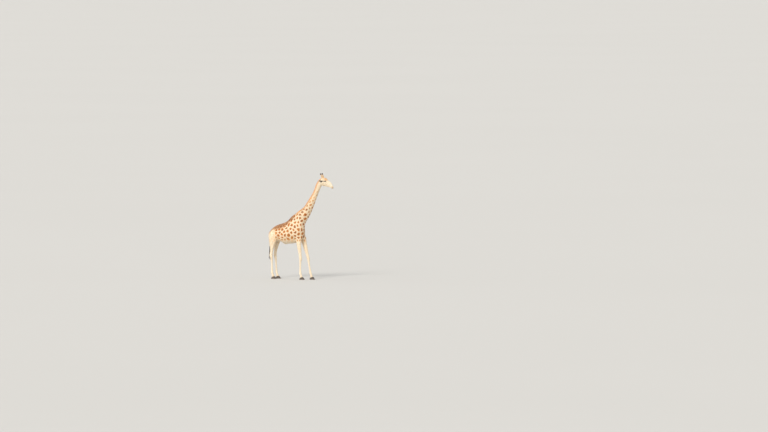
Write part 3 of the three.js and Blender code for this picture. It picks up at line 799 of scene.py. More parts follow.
# %% How strong the markings are, part by part
# faded: 0 full blotches, 1 none; gap: share of the spacing left pale; saddle: brown of the back
faded = 0.05 + 0.50 * step(up_neck, 0.30, 1.20) + 0.38 * step(up_neck, 1.10, 1.75)
faded = np.maximum(faded, 0.82 * step(-x, 0.96, 1.18) * step(z, 1.2, 1.5))
on_leg = 0.84 + 0.12 * (1 - step(z, 0.5, 1.3))
faded = faded + (np.maximum(faded, on_leg) - faded) * (1 - step(z, 1.50, 1.80)) * (up_neck < 0)
faded = np.maximum(faded, 0.92 * step(-tilt[:, 2], 0.30, 0.75) * (z < 2.0))
faded = np.maximum(faded, 0.93 * head_share)
faded = np.maximum(faded, np.where(on_tail, 1.0, 0.0))
gap = 0.30 + 0.15 * step(up_neck, -0.1, 0.9) + 0.12 * leg_share

columns = np.arange(-1.52, 0.10, 0.04)
spine = np.array([z[np.abs(x - at) < 0.03].max() for at in columns])
under_spine = np.interp(x, columns, spine) - z
deep = 0.36 - 0.13 * step(-x, 1.02, 1.28)
saddle = (1 - step(under_spine / deep, 0.15, 1.0)) * step(-x, 0.10, 0.42) * (z > 1.7)
saddle *= 1 - 0.35 * step(-x, 1.05, 1.45)
gap = gap - 0.12 * saddle
faded = faded * (1 - 0.6 * saddle)
nape = hump(y / 0.062) * step(up_neck, -0.1, 0.3) * step(-(tilt @ NECK_FORWARDS), -0.1, 0.7)
nape *= 1 - head_share
on_side_of_head = head_share * step(np.abs(out), 0.055, 0.075) * (1 - on_ear)
tan = hump(np.hypot((u - 0.195) / 0.095, (v - 0.120) / 0.070)) * step(tilt @ above, -0.3, 0.4)
tan = np.maximum(tan, 0.55 * step(u, 0.575, 0.66)) * head_share
tan = np.maximum(tan, 0.25 * hump((z - 0.10) / 0.08))
# Inside each ear the coat is darkened: painted shade in the ear's hollow.
shade_in_ear = [((h > 0.0012) & (t > 0.0) & (np.abs(w) < 0.93) & (np.abs(h) < 0.02)) * (1 - step(t, 0.70, 0.98))
          for t, w, h in ears]
soot = hide.smoothed(0.90 * np.max(shade_in_ear, axis=0), 2)
# A dark streak from the ear's root towards the eye: painted shadow of the ear on the cheek.
ear_shadow_streak = from_line(u, v, (0.145, -0.002), (0.212, 0.038))
soot = np.maximum(soot, 0.85 * hump(ear_shadow_streak / 0.017) * on_side_of_head)
# Round the eye: dark skin of the lids and rims, with painted shade of the socket.
soot = np.maximum(soot, 0.88 * eye_ring + 0.12 * step(lid_edge, -6, -2))
# In the nostril slots and along the mouth: painted shade in the grooves.
soot = np.maximum(soot, 0.92 * hump(slot / 0.0050) * slot_share * (slot < 0.012))
soot = np.maximum(soot, 0.7 * hump(gape / 0.004) * gape_share)
soot = np.maximum(soot, 0.9 * (1 - step(z, 1.30, 1.40)) * on_tail)
print("share of the skin under the saddle:", round(float((saddle > 0.5).mean()), 3))

# %% Store everything on the skin
growth = 1 - step(lid_edge, -8, -3)
growth *= 1 - hump(gape / 0.005) * gape_share
growth *= 1 - hump(slot / 0.006) * slot_share
length = 0.016 - 0.004 * leg_share - 0.003 * (1 - step(z, 0.3, 1.0))
length -= (length - 0.0085 + 0.0035 * step(u, 0.45, 0.60)) * head_share
length = np.where(on_ear, 0.009, length)
length *= 1 - 0.5 * step(lid_edge, -45, -10)


def store(mesh, kind, domain="POINT", **fields):
    """Named attributes on a mesh, from arrays."""
    for name, values in fields.items():
        made = mesh.attributes.get(name) or mesh.attributes.new(name, kind, domain)
        key = "vector" if kind == "FLOAT_VECTOR" else "value"
        data = np.ascontiguousarray(values, np.int32 if kind == "INT" else np.float32)
        made.data.foreach_set(key, data.ravel())


hide.write()
hide_normals = hide.normals()
count = len(hide.place)
store(skin.data, "FLOAT", border=border, core=first, tone=seed_tone[own], faded=faded, gap=gap,
      saddle=saddle, nape=nape, tan=tan, soot=soot, growth=growth, length=length,
      strand=np.full(count, 0.5), tip=np.full(count, 0.45))
store(skin.data, "FLOAT_VECTOR", root=hide.place, lie=lie, straight=hide_normals)
store(skin.data, "INT", "FACE", region=region)
print("attributes on the skin:", [a.name for a in skin.data.attributes][:20])

# %% [markdown]
# ## Shader and geometry trees as plain sums
# A tree of nodes is hard to read as code. A small class holds one socket and turns Python's
# operators into Math nodes, and one method adds any other node: its settings first, then the
# values or links of its sockets. The same class serves materials and Geometry Nodes.

# %% Sockets with arithmetic
class Wire:
    """One output socket; sums on it add Math nodes to its tree."""

    def __init__(self, sheet, socket):
        self.sheet, self.socket = sheet, socket

    def by(self, operation, *others):
        return self.sheet.math(operation, self, *others)

    def __add__(self, other):
        return self.by("ADD", other)

    def __sub__(self, other):
        return self.by("SUBTRACT", other)

    def __rsub__(self, other):
        return self.sheet.math("SUBTRACT", other, self)

    def __mul__(self, other):
        return self.by("MULTIPLY", other)

    __radd__, __rmul__ = __add__, __mul__


class Made:
    """A node that was added; its outputs are read by name as wires."""

    def __init__(self, sheet, node):
        self.sheet, self.made = sheet, node

    def __getitem__(self, name):
        found = [s for s in self.made.outputs if s.enabled and name in (s.identifier, s.name)]
        return Wire(self.sheet, found[0])


class Sheet:
    """A node tree that is written as a text."""

    def __init__(self, tree):
        self.tree = tree

    def node(self, kind, settings=None, values=None):
        made = self.tree.nodes.new(kind)
        for key, value in (settings or {}).items():
            setattr(made, key, value)
        for key, value in (values or {}).items():
            if isinstance(key, int):
                socket = made.inputs[key]
            else:
                socket = [s for s in made.inputs if s.enabled and key in (s.identifier, s.name)][0]
            if isinstance(value, Wire):
                self.tree.links.new(value.socket, socket)
            else:
                socket.default_value = value
        return Made(self, made)

    def math(self, operation, *values):
        return self.node("ShaderNodeMath", {"operation": operation}, dict(enumerate(values)))["Value"]


class Paint(Sheet):
    """A material's tree, with the few nodes that every finish here uses."""

    def __init__(self, name, **constants):
        self.material = bpy.data.materials.new(name)
        self.material.use_nodes = True
        super().__init__(self.material.node_tree)
        self.shader = self.tree.nodes["Principled BSDF"]
        for key, value in constants.items():
            self.shader.inputs[key.replace("_", " ")].default_value = value
        self.place = self.node("ShaderNodeTexCoord")["Object"]

    def attribute(self, name, output="Fac"):
        return self.node("ShaderNodeAttribute", {"attribute_name": name})[output]

    def ramp(self, value, low, high):
        return self.node("ShaderNodeMapRange", {"interpolation_type": "SMOOTHSTEP"},
                         {"Value": value, "From Min": low, "From Max": high})["Result"]

    def noise(self, size, vector=None, detail=2.0, stretch=None):
        """Noise with bumps about `size` metres across, from -0.5 to 0.5."""
        vector = vector or self.place
        if stretch:
            vector = self.node("ShaderNodeMapping", None, {"Vector": vector, "Scale": stretch})["Vector"]
        values = {"Vector": vector, "Scale": 1 / size, "Detail": detail}
        return self.node("ShaderNodeTexNoise", None, values)["Fac"] - 0.5

    def blend(self, share, one, other):
        one, other = [c if isinstance(c, Wire) else (*c, 1) for c in (one, other)]
        return self.node("ShaderNodeMix", {"data_type": "RGBA"},
                         {"Factor_Float": share, "A_Color": one, "B_Color": other})["Result_Color"]

    def darker(self, colour, share):
        """Colour times a number that varies over the surface."""
        return self.node("ShaderNodeVectorMath", {"operation": "SCALE"},
                         {"Vector": colour, "Scale": share})["Vector"]

    def bump(self, height, distance):
        return self.node("ShaderNodeBump", None,
                         {"Height": height, "Distance": distance, "Strength": 1.0})["Normal"]

    def set(self, **links):
        for key, wire in links.items():
            self.tree.links.new(wire.socket, self.shader.inputs[key.replace("_", " ")])
        return self.material


# %% [markdown]
# ## The coat's colour
# The ground is cream. A blotch is orange-brown with a darker, redder middle, and its edge is
# ragged because it is made of hair. Blotches pale up the neck and down the legs, and run
# together into brown along the back. One function gives this colour from the stored numbers,
# so the skin and every tuft agree: a tuft carries the numbers of its own root.

# %% Coat material
CREAM, CHALK = (0.785, 0.650, 0.465), (0.80, 0.71, 0.56)
ORANGE, CHESTNUT, FADED = (0.57, 0.230, 0.062), (0.250, 0.080, 0.026), (0.74, 0.38, 0.135)
SADDLE, UMBER, NAPE = (0.43, 0.235, 0.115), (0.225, 0.095, 0.042), (0.70, 0.32, 0.090)
# The second colour is dark skin and hair, and also painted shade: in the ears' hollows, the nostrils and the
# mouth, round the eyes, and from ear to eye.
TAN, DARK_TONE_AND_SHADE = (0.62, 0.33, 0.125), (0.045, 0.041, 0.042)
HAIRY = {"Roughness": 0.72, "Sheen_Weight": 0.12, "Specular_IOR_Level": 0.25}


def coat_material(name, bump):
    paint = Paint(name, **HAIRY, Sheen_Roughness=0.5)
    border, gap, core, tone, faded, back, nape, tan, soot, strand, tip = map(paint.attribute, (
        "border", "gap", "core", "tone", "faded", "saddle", "nape", "tan", "soot", "strand", "tip"))
    root = paint.attribute("root", "Vector")
    ragged = paint.noise(0.012, root, 3) * 0.34 + paint.noise(0.045, root) * 0.16
    blotch = paint.ramp(border - gap + ragged * (1 - 0.3 * faded), -0.02, 0.05)
    middle_share = paint.ramp(core + ragged * 0.8 + tone * 0.30, 0.62, 0.12)
    colour = paint.blend(middle_share * 0.80, ORANGE, CHESTNUT)
    colour = paint.blend(paint.ramp(faded, 0.05, 0.70), colour, FADED)
    ground = paint.blend(paint.ramp(paint.noise(0.30, root) + faded, 0.4, 1.4), CREAM, CHALK)
    strength = blotch * (1 - paint.ramp(faded, 0.35, 1.05) * 0.95)
    saddle = back + paint.noise(0.09, root) * 0.5 * back
    ground = paint.blend(paint.ramp(saddle, 0.10, 0.75) * 0.95, ground, SADDLE)
    colour = paint.blend(paint.ramp(saddle, 0.25, 1.0) * 0.7, colour, UMBER)
    colour = paint.blend(strength, ground, colour)
    # Nape and tan are the coat's own colours; the last blend lays on dark skin and hair, and painted shade
    # in hollows and grooves.
    for share, other in ((nape * 0.85, NAPE), (tan * 0.9, TAN), (soot, DARK_TONE_AND_SHADE)):
        colour = paint.blend(share, colour, other)
    shade = 0.80 + 0.22 * strand + 0.16 * tip
    colour = paint.darker(colour, shade + paint.noise(0.004, root, 1) * 0.22)
    hair = paint.noise(0.0016, root, 2)
    return paint.set(Base_Color=colour, Normal=paint.bump(hair, bump), Roughness=0.70 + hair * 0.2)


coat_on_skin = coat_material("coat on the skin", 0.0010)
coat_of_hair = coat_material("coat of hair", 0.0006)
skin.data.materials.clear()
skin.data.materials.append(coat_on_skin)
skin.data.shade_smooth()
print("coat materials:", coat_on_skin.name, "and", coat_of_hair.name)

# %% [markdown]
# ## Tufts of hair
# A tuft is a flat spike of four triangles: broad at its root, ending in a point. Thousands of
# them are laid over the skin by Geometry Nodes: points are strewn over one region, each takes
# the lie of the coat at its place, leans a little off the skin, and carries the region's
# numbers with it. The instances are realized, because an export keeps only real meshes.

# %% Tree that lays fur
def tree_inputs(tree, **inputs):
    """Geometry in and out of a tree, a material, and numbers that can be set by name."""
    tree.interface.new_socket("Geometry", in_out="INPUT", socket_type="NodeSocketGeometry")
    tree.interface.new_socket("Geometry", in_out="OUTPUT", socket_type="NodeSocketGeometry")
    tree.interface.new_socket("Material", in_out="INPUT", socket_type="NodeSocketMaterial")
    for name, value in inputs.items():
        kind = "NodeSocketInt" if isinstance(value, int) else "NodeSocketFloat"
        tree.interface.new_socket(name, in_out="INPUT", socket_type=kind).default_value = value


def named(sheet, name, kind="FLOAT"):
    return sheet.node("GeometryNodeInputNamedAttribute", {"data_type": kind}, {"Name": name})["Attribute"]


def random_in(sheet, low, high, seed):
    return sheet.node("FunctionNodeRandomValue", {"data_type": "FLOAT"},
                      {"Min_001": low, "Max_001": high, "Seed": seed})["Value_001"]


def vector_sum(sheet, operation, *values):
    keys = (0, "Scale") if operation == "SCALE" else (0, 1)
    return sheet.node("ShaderNodeVectorMath", {"operation": operation}, dict(zip(keys, values)))["Vector"]


def keep(sheet, geometry, name, value, kind="FLOAT"):
    return sheet.node("GeometryNodeStoreNamedAttribute", {"data_type": kind, "domain": "POINT"},
                      {"Geometry": geometry, "Name": name, "Value": value})["Geometry"]


def spike(sheet, sides, segments):
    """A cone along Z, one unit long, that carries `tip` from 0 at its root to 1 at its point."""
    cone = sheet.node("GeometryNodeMeshCone", {"fill_type": "NGON"}, {
        "Vertices": sides, "Side Segments": segments, "Radius Top": 0.0, "Radius Bottom": 1.0, "Depth": 1.0})
    place = sheet.node("GeometryNodeInputPosition")["Position"]
    height = sheet.node("ShaderNodeSeparateXYZ", None, {0: place})["Z"]
    return keep(sheet, cone["Mesh"], "tip", height), height, place


def plant(sheet, points, shape, along, flat_side, wide, thick, long):
    """Stands `shape` on the points, its Z along the hair and its Y on the skin's normal."""
    turn = sheet.node("FunctionNodeAlignRotationToVector", {"axis": "Z"}, {"Vector": along})["Rotation"]
    turn = sheet.node("FunctionNodeAlignRotationToVector", {"axis": "Y", "pivot_axis": "Z"},
                      {"Rotation": turn, "Vector": flat_side})["Rotation"]
    size = sheet.node("ShaderNodeCombineXYZ", None, {"X": wide, "Y": thick, "Z": long})["Vector"]
    stood = sheet.node("GeometryNodeInstanceOnPoints", None, {
        "Points": points, "Instance": shape, "Rotation": turn, "Scale": size})["Instances"]
    return sheet.node("GeometryNodeRealizeInstances", None, {"Geometry": stood})["Geometry"]


def painted(sheet, geometry, material):
    """Ends a tree: the geometry gets its material and goes out."""
    made = sheet.node("GeometryNodeSetMaterial", None, {"Geometry": geometry, "Material": material})
    sheet.node("NodeGroupOutput", None, {"Geometry": made["Geometry"]})


def fur_tree():
    tree = bpy.data.node_groups.new("lay fur", "GeometryNodeTree")
    tree_inputs(tree, Region=0, Density=1000.0, Lean=0.22, Width=0.13, Length=1.0, Stray=0.16, Seed=1)
    sheet = Sheet(tree)
    given = sheet.node("NodeGroupInput")
    here = sheet.node("FunctionNodeCompare", {"data_type": "INT", "operation": "EQUAL"},
                      {"A_INT": named(sheet, "region", "INT"), "B_INT": given["Region"]})["Result"]
    dense = given["Density"] * named(sheet, "growth") * here
    points = sheet.node("GeometryNodeDistributePointsOnFaces", {"distribute_method": "RANDOM"},
                        {"Mesh": given["Geometry"], "Density": dense, "Seed": given["Seed"]})["Points"]
    place = sheet.node("GeometryNodeInputPosition")["Position"]
    points = keep(sheet, points, "root", place, "FLOAT_VECTOR")
    points = keep(sheet, points, "strand", random_in(sheet, 0.0, 1.0, 5))
    lie, straight = named(sheet, "lie", "FLOAT_VECTOR"), named(sheet, "straight", "FLOAT_VECTOR")
    aside = vector_sum(sheet, "CROSS_PRODUCT", lie, straight)
    stray = vector_sum(sheet, "SCALE", aside, random_in(sheet, -1.0, 1.0, 11) * given["Stray"])
    lean = vector_sum(sheet, "SCALE", straight, given["Lean"] * random_in(sheet, 0.5, 1.5, 13))
    along = vector_sum(sheet, "ADD", vector_sum(sheet, "ADD", lie, stray), lean)
    long = named(sheet, "length") * given["Length"] * random_in(sheet, 0.7, 1.25, 17)
    wide = long * given["Width"] * random_in(sheet, 0.8, 1.2, 19)
    shape = spike(sheet, 3, 1)[0]
    painted(sheet, plant(sheet, points, shape, along, straight, wide, wide * 0.35, long), given["Material"])
    return tree


def grown(name, over, tree, material, **inputs):
    """Runs a tree over a mesh and keeps the result as a plain mesh of one material."""
    carrier = bpy.data.objects.new(name, over)
    bpy.context.collection.objects.link(carrier)
    modifier = carrier.modifiers.new("grow", "NODES")
    modifier.node_group = tree
    identifiers = {i.name: i.identifier for i in tree.interface.items_tree if i.in_out == "INPUT"}
    for key, value in {"Material": material, **inputs}.items():
        modifier[identifiers[key]] = value
    graph = bpy.context.evaluated_depsgraph_get()
    result = bpy.data.meshes.new_from_object(carrier.evaluated_get(graph), depsgraph=graph)
    carrier.modifiers.clear()
    carrier.data = result
    result.materials.clear()
    result.materials.append(material)
    return carrier


laying = fur_tree()
print("tree:", laying.name, "inputs:", [i.name for i in laying.interface.items_tree if i.in_out == "INPUT"])

# %% Lay the fur, region by region
TUFTS = 44000
LEANS = {"head": 0.10, "forelegs": 0.16, "hindlegs": 0.16}
WIDTHS = {"head": 0.10}
body = [(skin, FLESH + [f"ear_{side}" for side in SIDES], "coat")]
skin_mesh = skin.data
coats = {}
for k, name in enumerate(REGIONS):
    part = name.split("_")[0]
    density = TUFTS / region_area[name]
    coats[name] = grown(f"coat_{name}", skin_mesh, laying, coat_of_hair, Region=k, Density=density,
                        Lean=LEANS.get(part, 0.20), Width=WIDTHS.get(part, 0.12), Seed=k + 1)
    body.append((coats[name], [], "coat"))
    print(coats[name].name, len(coats[name].data.polygons), "faces")

# %% [markdown]
# ## A map for the coat's colours
# A tuft is too thin for an unwrap of its own. Its colour is that of its root, so each tuft gets
# a patch a few thousandths across at its root's place on an unwrap of the body: trunk and neck
# opened along their length like a rolled sheet, legs and head each in a field of their own.

# %% Unwrap the roots
PATCH = 0.003


def unrolled(points, region_name):
    """Place of each root on a sheet from 0 to 1: along the part, and round it."""
    px, py, pz = points.T
    if region_name.startswith("head"):
        hu, hv, hout = head_coordinates(points)
        return hu + 0.25, np.arctan2(hout, hv + 0.06) / (2 * math.pi) + 0.5
    if region_name.startswith("neck"):
        back = (points - NECK_BASE) @ -NECK_FORWARDS
        return up_the_neck(points) / 2.1, np.arctan2(np.abs(py), back) / math.pi
    if region_name.startswith("trunk"):
        return (px + 1.6) / 2.1, np.arctan2(np.abs(py), pz - 2.05 - 0.25 * px) / math.pi
    left = py > 0
    middle_x = np.where(left, 0.25 - 0.17 * (pz - 0.4), 0.03) if region_name == "forelegs" else -1.25
    turn = np.arctan2(py - np.where(left, 0.14, -0.14), px - middle_x) / (2 * math.pi) + 0.5
    return pz / 1.8, turn * 0.45 + np.where(left, 0.5, 0.03)


def add_map(mesh, region_name):
    corner = read(mesh.loops, "vertex_index", np.int32)
    root = read(mesh.attributes["root"].data, "vector", width=3)[corner]
    along, turn = unrolled(root, region_name)
    around = (np.arange(len(corner)) % 3) * (2 * math.pi / 3)
    sheet = np.stack([along + PATCH / 2 * np.cos(around), turn + PATCH / 2 * np.sin(around)], axis=1)
    made = mesh.uv_layers.new(name="OFBake")
    made.data.foreach_set("uv", np.clip(sheet, 0, 1).astype(np.float32).ravel())


for name, coat in coats.items():
    add_map(coat.data, name)
print("maps:", PATCH, "across on", len(coats), "coats")

# %% [markdown]
# ## Eyes
# The eye of a giraffe is large, dark and wet, with a brown iris and a pupil that is wider than
# it is high. The solid marks its place; here it is a finer ball, whose points keep their
# direction from the eye's own axis, so that the material can draw iris and pupil on it.

# %% Eyeballs
def eyeball(side):
    build = bmesh.new()
    bmesh.ops.create_uvsphere(build, u_segments=48, v_segments=32, radius=eye_radius)
    for vert in build.verts:
        vert.co += Vector(eye_centre[side])
    made = as_object(f"eyeball_{side}", build)
    outwards, slit, up = eye_frame(side)
    points = read(made.data.vertices, "co", width=3) - eye_centre[side]
    gaze = np.stack([points @ slit, points @ up, points @ outwards], axis=1) / eye_radius
    store(made.data, "FLOAT_VECTOR", gaze=gaze)
    made.data.shade_smooth()
    return made


def eye_material():
    paint = Paint("wet eye", Roughness=0.05, IOR=1.36)
    parts = paint.node("ShaderNodeSeparateXYZ", None, {0: paint.attribute("gaze", "Vector")})

    def from_middle(wide, high):
        place = paint.node("ShaderNodeCombineXYZ", None, {"X": wide, "Y": high})["Vector"]
        return paint.node("ShaderNodeVectorMath", {"operation": "LENGTH"}, {"Vector": place})["Value"]

    reach, pupil = from_middle(parts["X"], parts["Y"]), from_middle(parts["X"] * 2.0, parts["Y"] * 3.8)
    rays = paint.noise(0.003, stretch=(1.0, 1.0, 0.3)) * 0.5
    colour = paint.blend(paint.ramp(reach + rays, 0.25, 0.62), (0.040, 0.016, 0.007), (0.010, 0.005, 0.003))
    colour = paint.blend(paint.ramp(reach, 0.70, 0.80), colour, (0.055, 0.040, 0.032))
    colour = paint.blend(paint.ramp(pupil, 1.08, 0.92), colour, (0.002, 0.002, 0.003))
    return paint.set(Base_Color=colour)


wet_eye = eye_material()
for side in SIDES:
    ball = eyeball(side)
    ball.data.materials.append(wet_eye)
    body.append((ball, [f"eye_{side}"], "eye"))
print("eyeballs of", round(eye_radius * 1000), "mm radius")

# %% [markdown]
# ## Horns and hooves
# The horns of a giraffe are bone under skin and hair, and its hooves are two toes of dull horn.
# Both are simple closed solids already. A copy is remeshed with small voxels and smoothed, which
# rounds the flat faces, and the soles are set back onto the floor.

# %% Rounded copies
HOOVES = [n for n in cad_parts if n.startswith("hoof_")]
HORNS = [f"ossicone_{side}" for side in SIDES]
SOLE = 0.0045


def rounded_copy(name, node, voxel, rounds, shrink):
    made = as_object(name, joined_copy([node]))
    with_modifier(made, "REMESH", mode="VOXEL", voxel_size=voxel)
    with_modifier(made, "TRIANGULATE")
    shape = Hide(made.data)
    first_place = shape.tree()
    shape.place = shape.smoothed(shape.place, rounds)
    error = shape.smoothed(-height_over(first_place, shape.place)[0] - shrink, rounds // 2)
    shape.place += shape.normals() * error[:, None]
    made.data.shade_smooth()
    return made, shape


def off_line(spoke, axis):
    """What is left of each spoke from a line's foot when its way along the line is taken off."""
    return spoke - np.outer(spoke @ axis, axis)


skin_tree = hide.tree()
horn_shapes = {}
for side, node in zip(SIDES, HORNS):
    horn, shape = rounded_copy(f"horn_{side}", node, 0.0042, 26, 0.0012)
    root_z, top_z = shape.place[:, 2].min(), shape.place[:, 2].max()
    up_horn = (shape.place[:, 2] - root_z) / (top_z - root_z)
    foot, top = shape.place[up_horn < 0.2].mean(axis=0), shape.place[up_horn > 0.9].mean(axis=0)
    axis = (top - foot) / np.linalg.norm(top - foot)
    off_axis = off_line(shape.place - foot, axis)
    over_skin, skin_normal = height_over(skin_tree, shape.place)
    shape.place -= skin_normal * (0.022 * (1 - step(over_skin, 0.000, 0.032)))[:, None]
    flare = 0.34 * (1 - step(height_over(skin_tree, shape.place)[0], -0.006, 0.026)) ** 2
    shape.place += off_axis * flare[:, None]
    shape.place = shape.smoothed(shape.place, 5)
    shape.write()
    horn_shapes[side] = (shape, up_horn, foot, axis)
    store(horn.data, "FLOAT", up=up_horn)
    store(horn.data, "FLOAT_VECTOR", root=shape.place)
    body.append((horn, [node], "horn"))
hooves = []
for node in HOOVES:
    hoof, shape = rounded_copy(node.replace("hoof", "toe"), node, 0.0040, 22, 0.0)
    height = shape.place[:, 2]
    shape.place[:, 2] = np.where(height < SOLE, 0.0, height)
    shape.write()
    store(hoof.data, "FLOAT_VECTOR", root=shape.place)
    hooves.append(hoof)
    body.append((hoof, [node], "hoof"))
print("horns and hooves:", len(HORNS), "and", len(hooves), "faces of a hoof:", len(hooves[0].data.polygons))


# %% Horn and hoof materials
def horn_material():
    paint = Paint("hair on the horns", **HAIRY)
    up = paint.attribute("up") + paint.noise(0.008) * 0.10
    colour = paint.blend(paint.ramp(up, 0.08, 0.45), (0.76, 0.63, 0.45), (0.62, 0.38, 0.16))
    colour = paint.blend(paint.ramp(up, 0.74, 0.86), colour, (0.060, 0.026, 0.014))
    hair = paint.noise(0.0022, stretch=(1.0, 1.0, 0.22))
    colour = paint.darker(colour, 1.0 + hair * 0.35)
    return paint.set(Base_Color=colour, Normal=paint.bump(hair, 0.002))


def hoof_material():
    paint = Paint("hoof horn", Roughness=0.5, Specular_IOR_Level=0.4)
    height = paint.node("ShaderNodeSeparateXYZ", None, {0: paint.place})["Z"]
    rings = paint.node("ShaderNodeTexWave", {"bands_direction": "Z"}, {
        "Vector": paint.place, "Scale": 26.0, "Distortion": 3.5, "Detail": 3.0})["Fac"]
    streak = paint.noise(0.003, detail=3, stretch=(1.0, 1.0, 0.08))
    up = paint.ramp(height + paint.noise(0.02) * 0.02, 0.0, 0.09)
    colour = paint.blend(up, (0.13, 0.10, 0.078), (0.060, 0.045, 0.036))
    colour = paint.darker(colour, 0.92 + rings * 0.10 + streak * 0.5)
    worn = paint.ramp(height + paint.noise(0.006) * 0.008, 0.010, 0.0)
    colour = paint.blend(worn * 0.6, colour, (0.24, 0.19, 0.145))
    return paint.set(Base_Color=colour, Roughness=0.46 + rings * 0.12 + worn * 0.25,
                     Normal=paint.bump(rings * 0.22 + streak, 0.0022))


finishes = {"horn": horn_material(), "hoof": hoof_material()}
for thing, _, slot_name in body:
    if slot_name in finishes:
        thing.data.materials.clear()
        thing.data.materials.append(finishes[slot_name])

# %% [markdown]
# ## Long hair: mane, tail, lashes and fringes
# The mane is a stiff brush along the crest of the neck, and the tail ends in long black locks.
# Short rows of the same kind are lashes, the fringe in the ears and the hair on the horn tips.
# All are planted by one more tree, on points whose place, direction, length and width are worked
# out first. Each lock is a cone of a few rings that bends and waves a little.

# %% Tree that plants locks
def lock_tree():
    tree = bpy.data.node_groups.new("plant locks", "GeometryNodeTree")
    tree_inputs(tree, Sides=3, Rings=5, Bend=0.12, Wave=0.0, Turns=1.5)
    sheet = Sheet(tree)
    given = sheet.node("NodeGroupInput")
    shape, height, place = spike(sheet, given["Sides"], given["Rings"])
    full = (1 - height).by("MAXIMUM", 0.02).by("POWER", -0.45)
    full = sheet.node("ShaderNodeCombineXYZ", None, {"X": full, "Y": full, "Z": 1.0})["Vector"]
    shape = sheet.node("GeometryNodeSetPosition", None, {
        "Geometry": shape, "Position": vector_sum(sheet, "MULTIPLY", place, full)})["Geometry"]
    points = sheet.node("GeometryNodeMeshToPoints", None, {"Mesh": given["Geometry"]})["Points"]
    along, straight, droop = [named(sheet, name, "FLOAT_VECTOR") for name in ("along", "straight", "droop")]
    tip, long, wide = [named(sheet, name) for name in ("tip", "long", "wide")]
    real = plant(sheet, points, shape, along, straight, wide, wide * 0.6, long)
    wave = (tip * given["Turns"] * (2 * math.pi)).by("SINE") * tip * long
    wave = wave * given["Wave"] * named(sheet, "curl")
    aside = vector_sum(sheet, "NORMALIZE", vector_sum(sheet, "CROSS_PRODUCT", straight, along))
    offset = vector_sum(sheet, "ADD", vector_sum(sheet, "SCALE", aside, wave),
                        vector_sum(sheet, "SCALE", droop, tip * tip * long * given["Bend"]))
    real = sheet.node("GeometryNodeSetPosition", None, {"Geometry": real, "Offset": offset})["Geometry"]
    painted(sheet, real, given["Material"])
    return tree


def locks(name, material, slot_name, roots, ways, long, wide, straight=None, droop=(0, 0, -1), curl=1.0,
          shade=0.5, nodes=(), **inputs):
    """Plants one lock on each root; the rest is given once, root by root, or as a pair to draw between."""
    ways = unit(np.asarray(ways))
    straight = np.cross(ways, [0, 1, 0.1]) if straight is None else straight
    mesh = bpy.data.meshes.new(name)
    mesh.from_pydata([tuple(p) for p in roots], [], [])
    count = len(roots)
    long, wide, curl, shade = [
        chance.uniform(*each, count) if isinstance(each, tuple) else np.broadcast_to(each, count)
        for each in (long, wide, curl, shade)]
    store(mesh, "FLOAT_VECTOR", root=np.asarray(roots), along=ways, straight=unit(straight),
          droop=np.broadcast_to(droop, (count, 3)))
    store(mesh, "FLOAT", strand=chance.uniform(0, 1, count), long=long, wide=wide, curl=curl, shade=shade)
    made = grown(name, mesh, planting, material, **inputs)
    for used in ("along", "straight", "droop", "long", "wide", "curl"):
        made.data.attributes.remove(made.data.attributes[used])
    body.append((made, list(nodes), slot_name))
    print(name + ":", count, "locks,", len(made.data.polygons), "faces")
    return made


planting = lock_tree()
print("tree:", planting.name)


# %% Hair material
def long_hair_material(name, roughness, root_colour, tip_colour, other):
    """Colour from root to tip, with `shade` leading to the other colour."""
    paint = Paint(name, Roughness=roughness, Sheen_Weight=0.1, Specular_IOR_Level=0.35)
    colour = paint.blend(paint.ramp(paint.attribute("tip"), 0.1, 0.8), root_colour, tip_colour)
    colour = paint.blend(paint.attribute("shade"), colour, other)
    streak = paint.noise(0.0012, detail=1, stretch=(1.0, 1.0, 0.1))
    colour = paint.darker(colour, 0.78 + 0.42 * paint.attribute("strand") + streak * 0.3)
    return paint.set(Base_Color=colour, Normal=paint.bump(streak, 0.0004))


mane_hair, black_hair, pale_hair, tan_hair = [long_hair_material(*row) for row in (
    ("mane hair", 0.6, (0.56, 0.230, 0.060), (0.80, 0.390, 0.125), (0.82, 0.56, 0.30)),
    ("black hair", 0.45, (0.020, 0.014, 0.011), (0.034, 0.022, 0.016), (0.10, 0.055, 0.030)),
    ("pale hair", 0.6, (0.74, 0.64, 0.50), (0.86, 0.80, 0.70), (0.30, 0.25, 0.20)),
    ("tan hair", 0.6, (0.62, 0.39, 0.17), (0.70, 0.46, 0.22), (0.78, 0.655, 0.475)))]
print("hair materials:", [m.name for m in (mane_hair, black_hair, pale_hair, tan_hair)])

def some_of(fits, count):
    """Draws `count` of the points that fit."""
    return chance.choice(np.flatnonzero(fits), count)


# %% The mane
# The crest is found by shooting rays at the skin from behind the neck, in its middle plane.
MANE = {"high": 0.058, "rows": 11, "half_width": 0.013, "pitch": 0.0024}
mane_low, mane_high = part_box("mane")
roots, tilts = [], []
for long in np.arange(-0.6, 2.3, MANE["pitch"]):
    for row in range(MANE["rows"]):
        across = (row + chance.uniform(-0.45, 0.45)) / (MANE["rows"] - 1)
        start = NECK_BASE - NECK_DOWN * (long + chance.uniform(-0.003, 0.003)) - NECK_FORWARDS * 0.9
        start = Vector(start) + Vector((0, MANE["half_width"] * (2 * across - 1), 0))
        hit, normal, _, _ = skin_tree.ray_cast(start, Vector(NECK_FORWARDS))
        if hit and hit.z > mane_low.z + 0.01 and mane_low.x + 0.01 < hit.x < mane_high.x - 0.035:
            roots.append(hit)
            tilts.append(normal)
roots, tilts = np.array(roots), np.array(tilts)
ends = step(roots[:, 0], mane_low.x, mane_low.x + 0.30)
ends = np.minimum(ends, 1 - 0.5 * step(roots[:, 0], 0.93, 1.03))
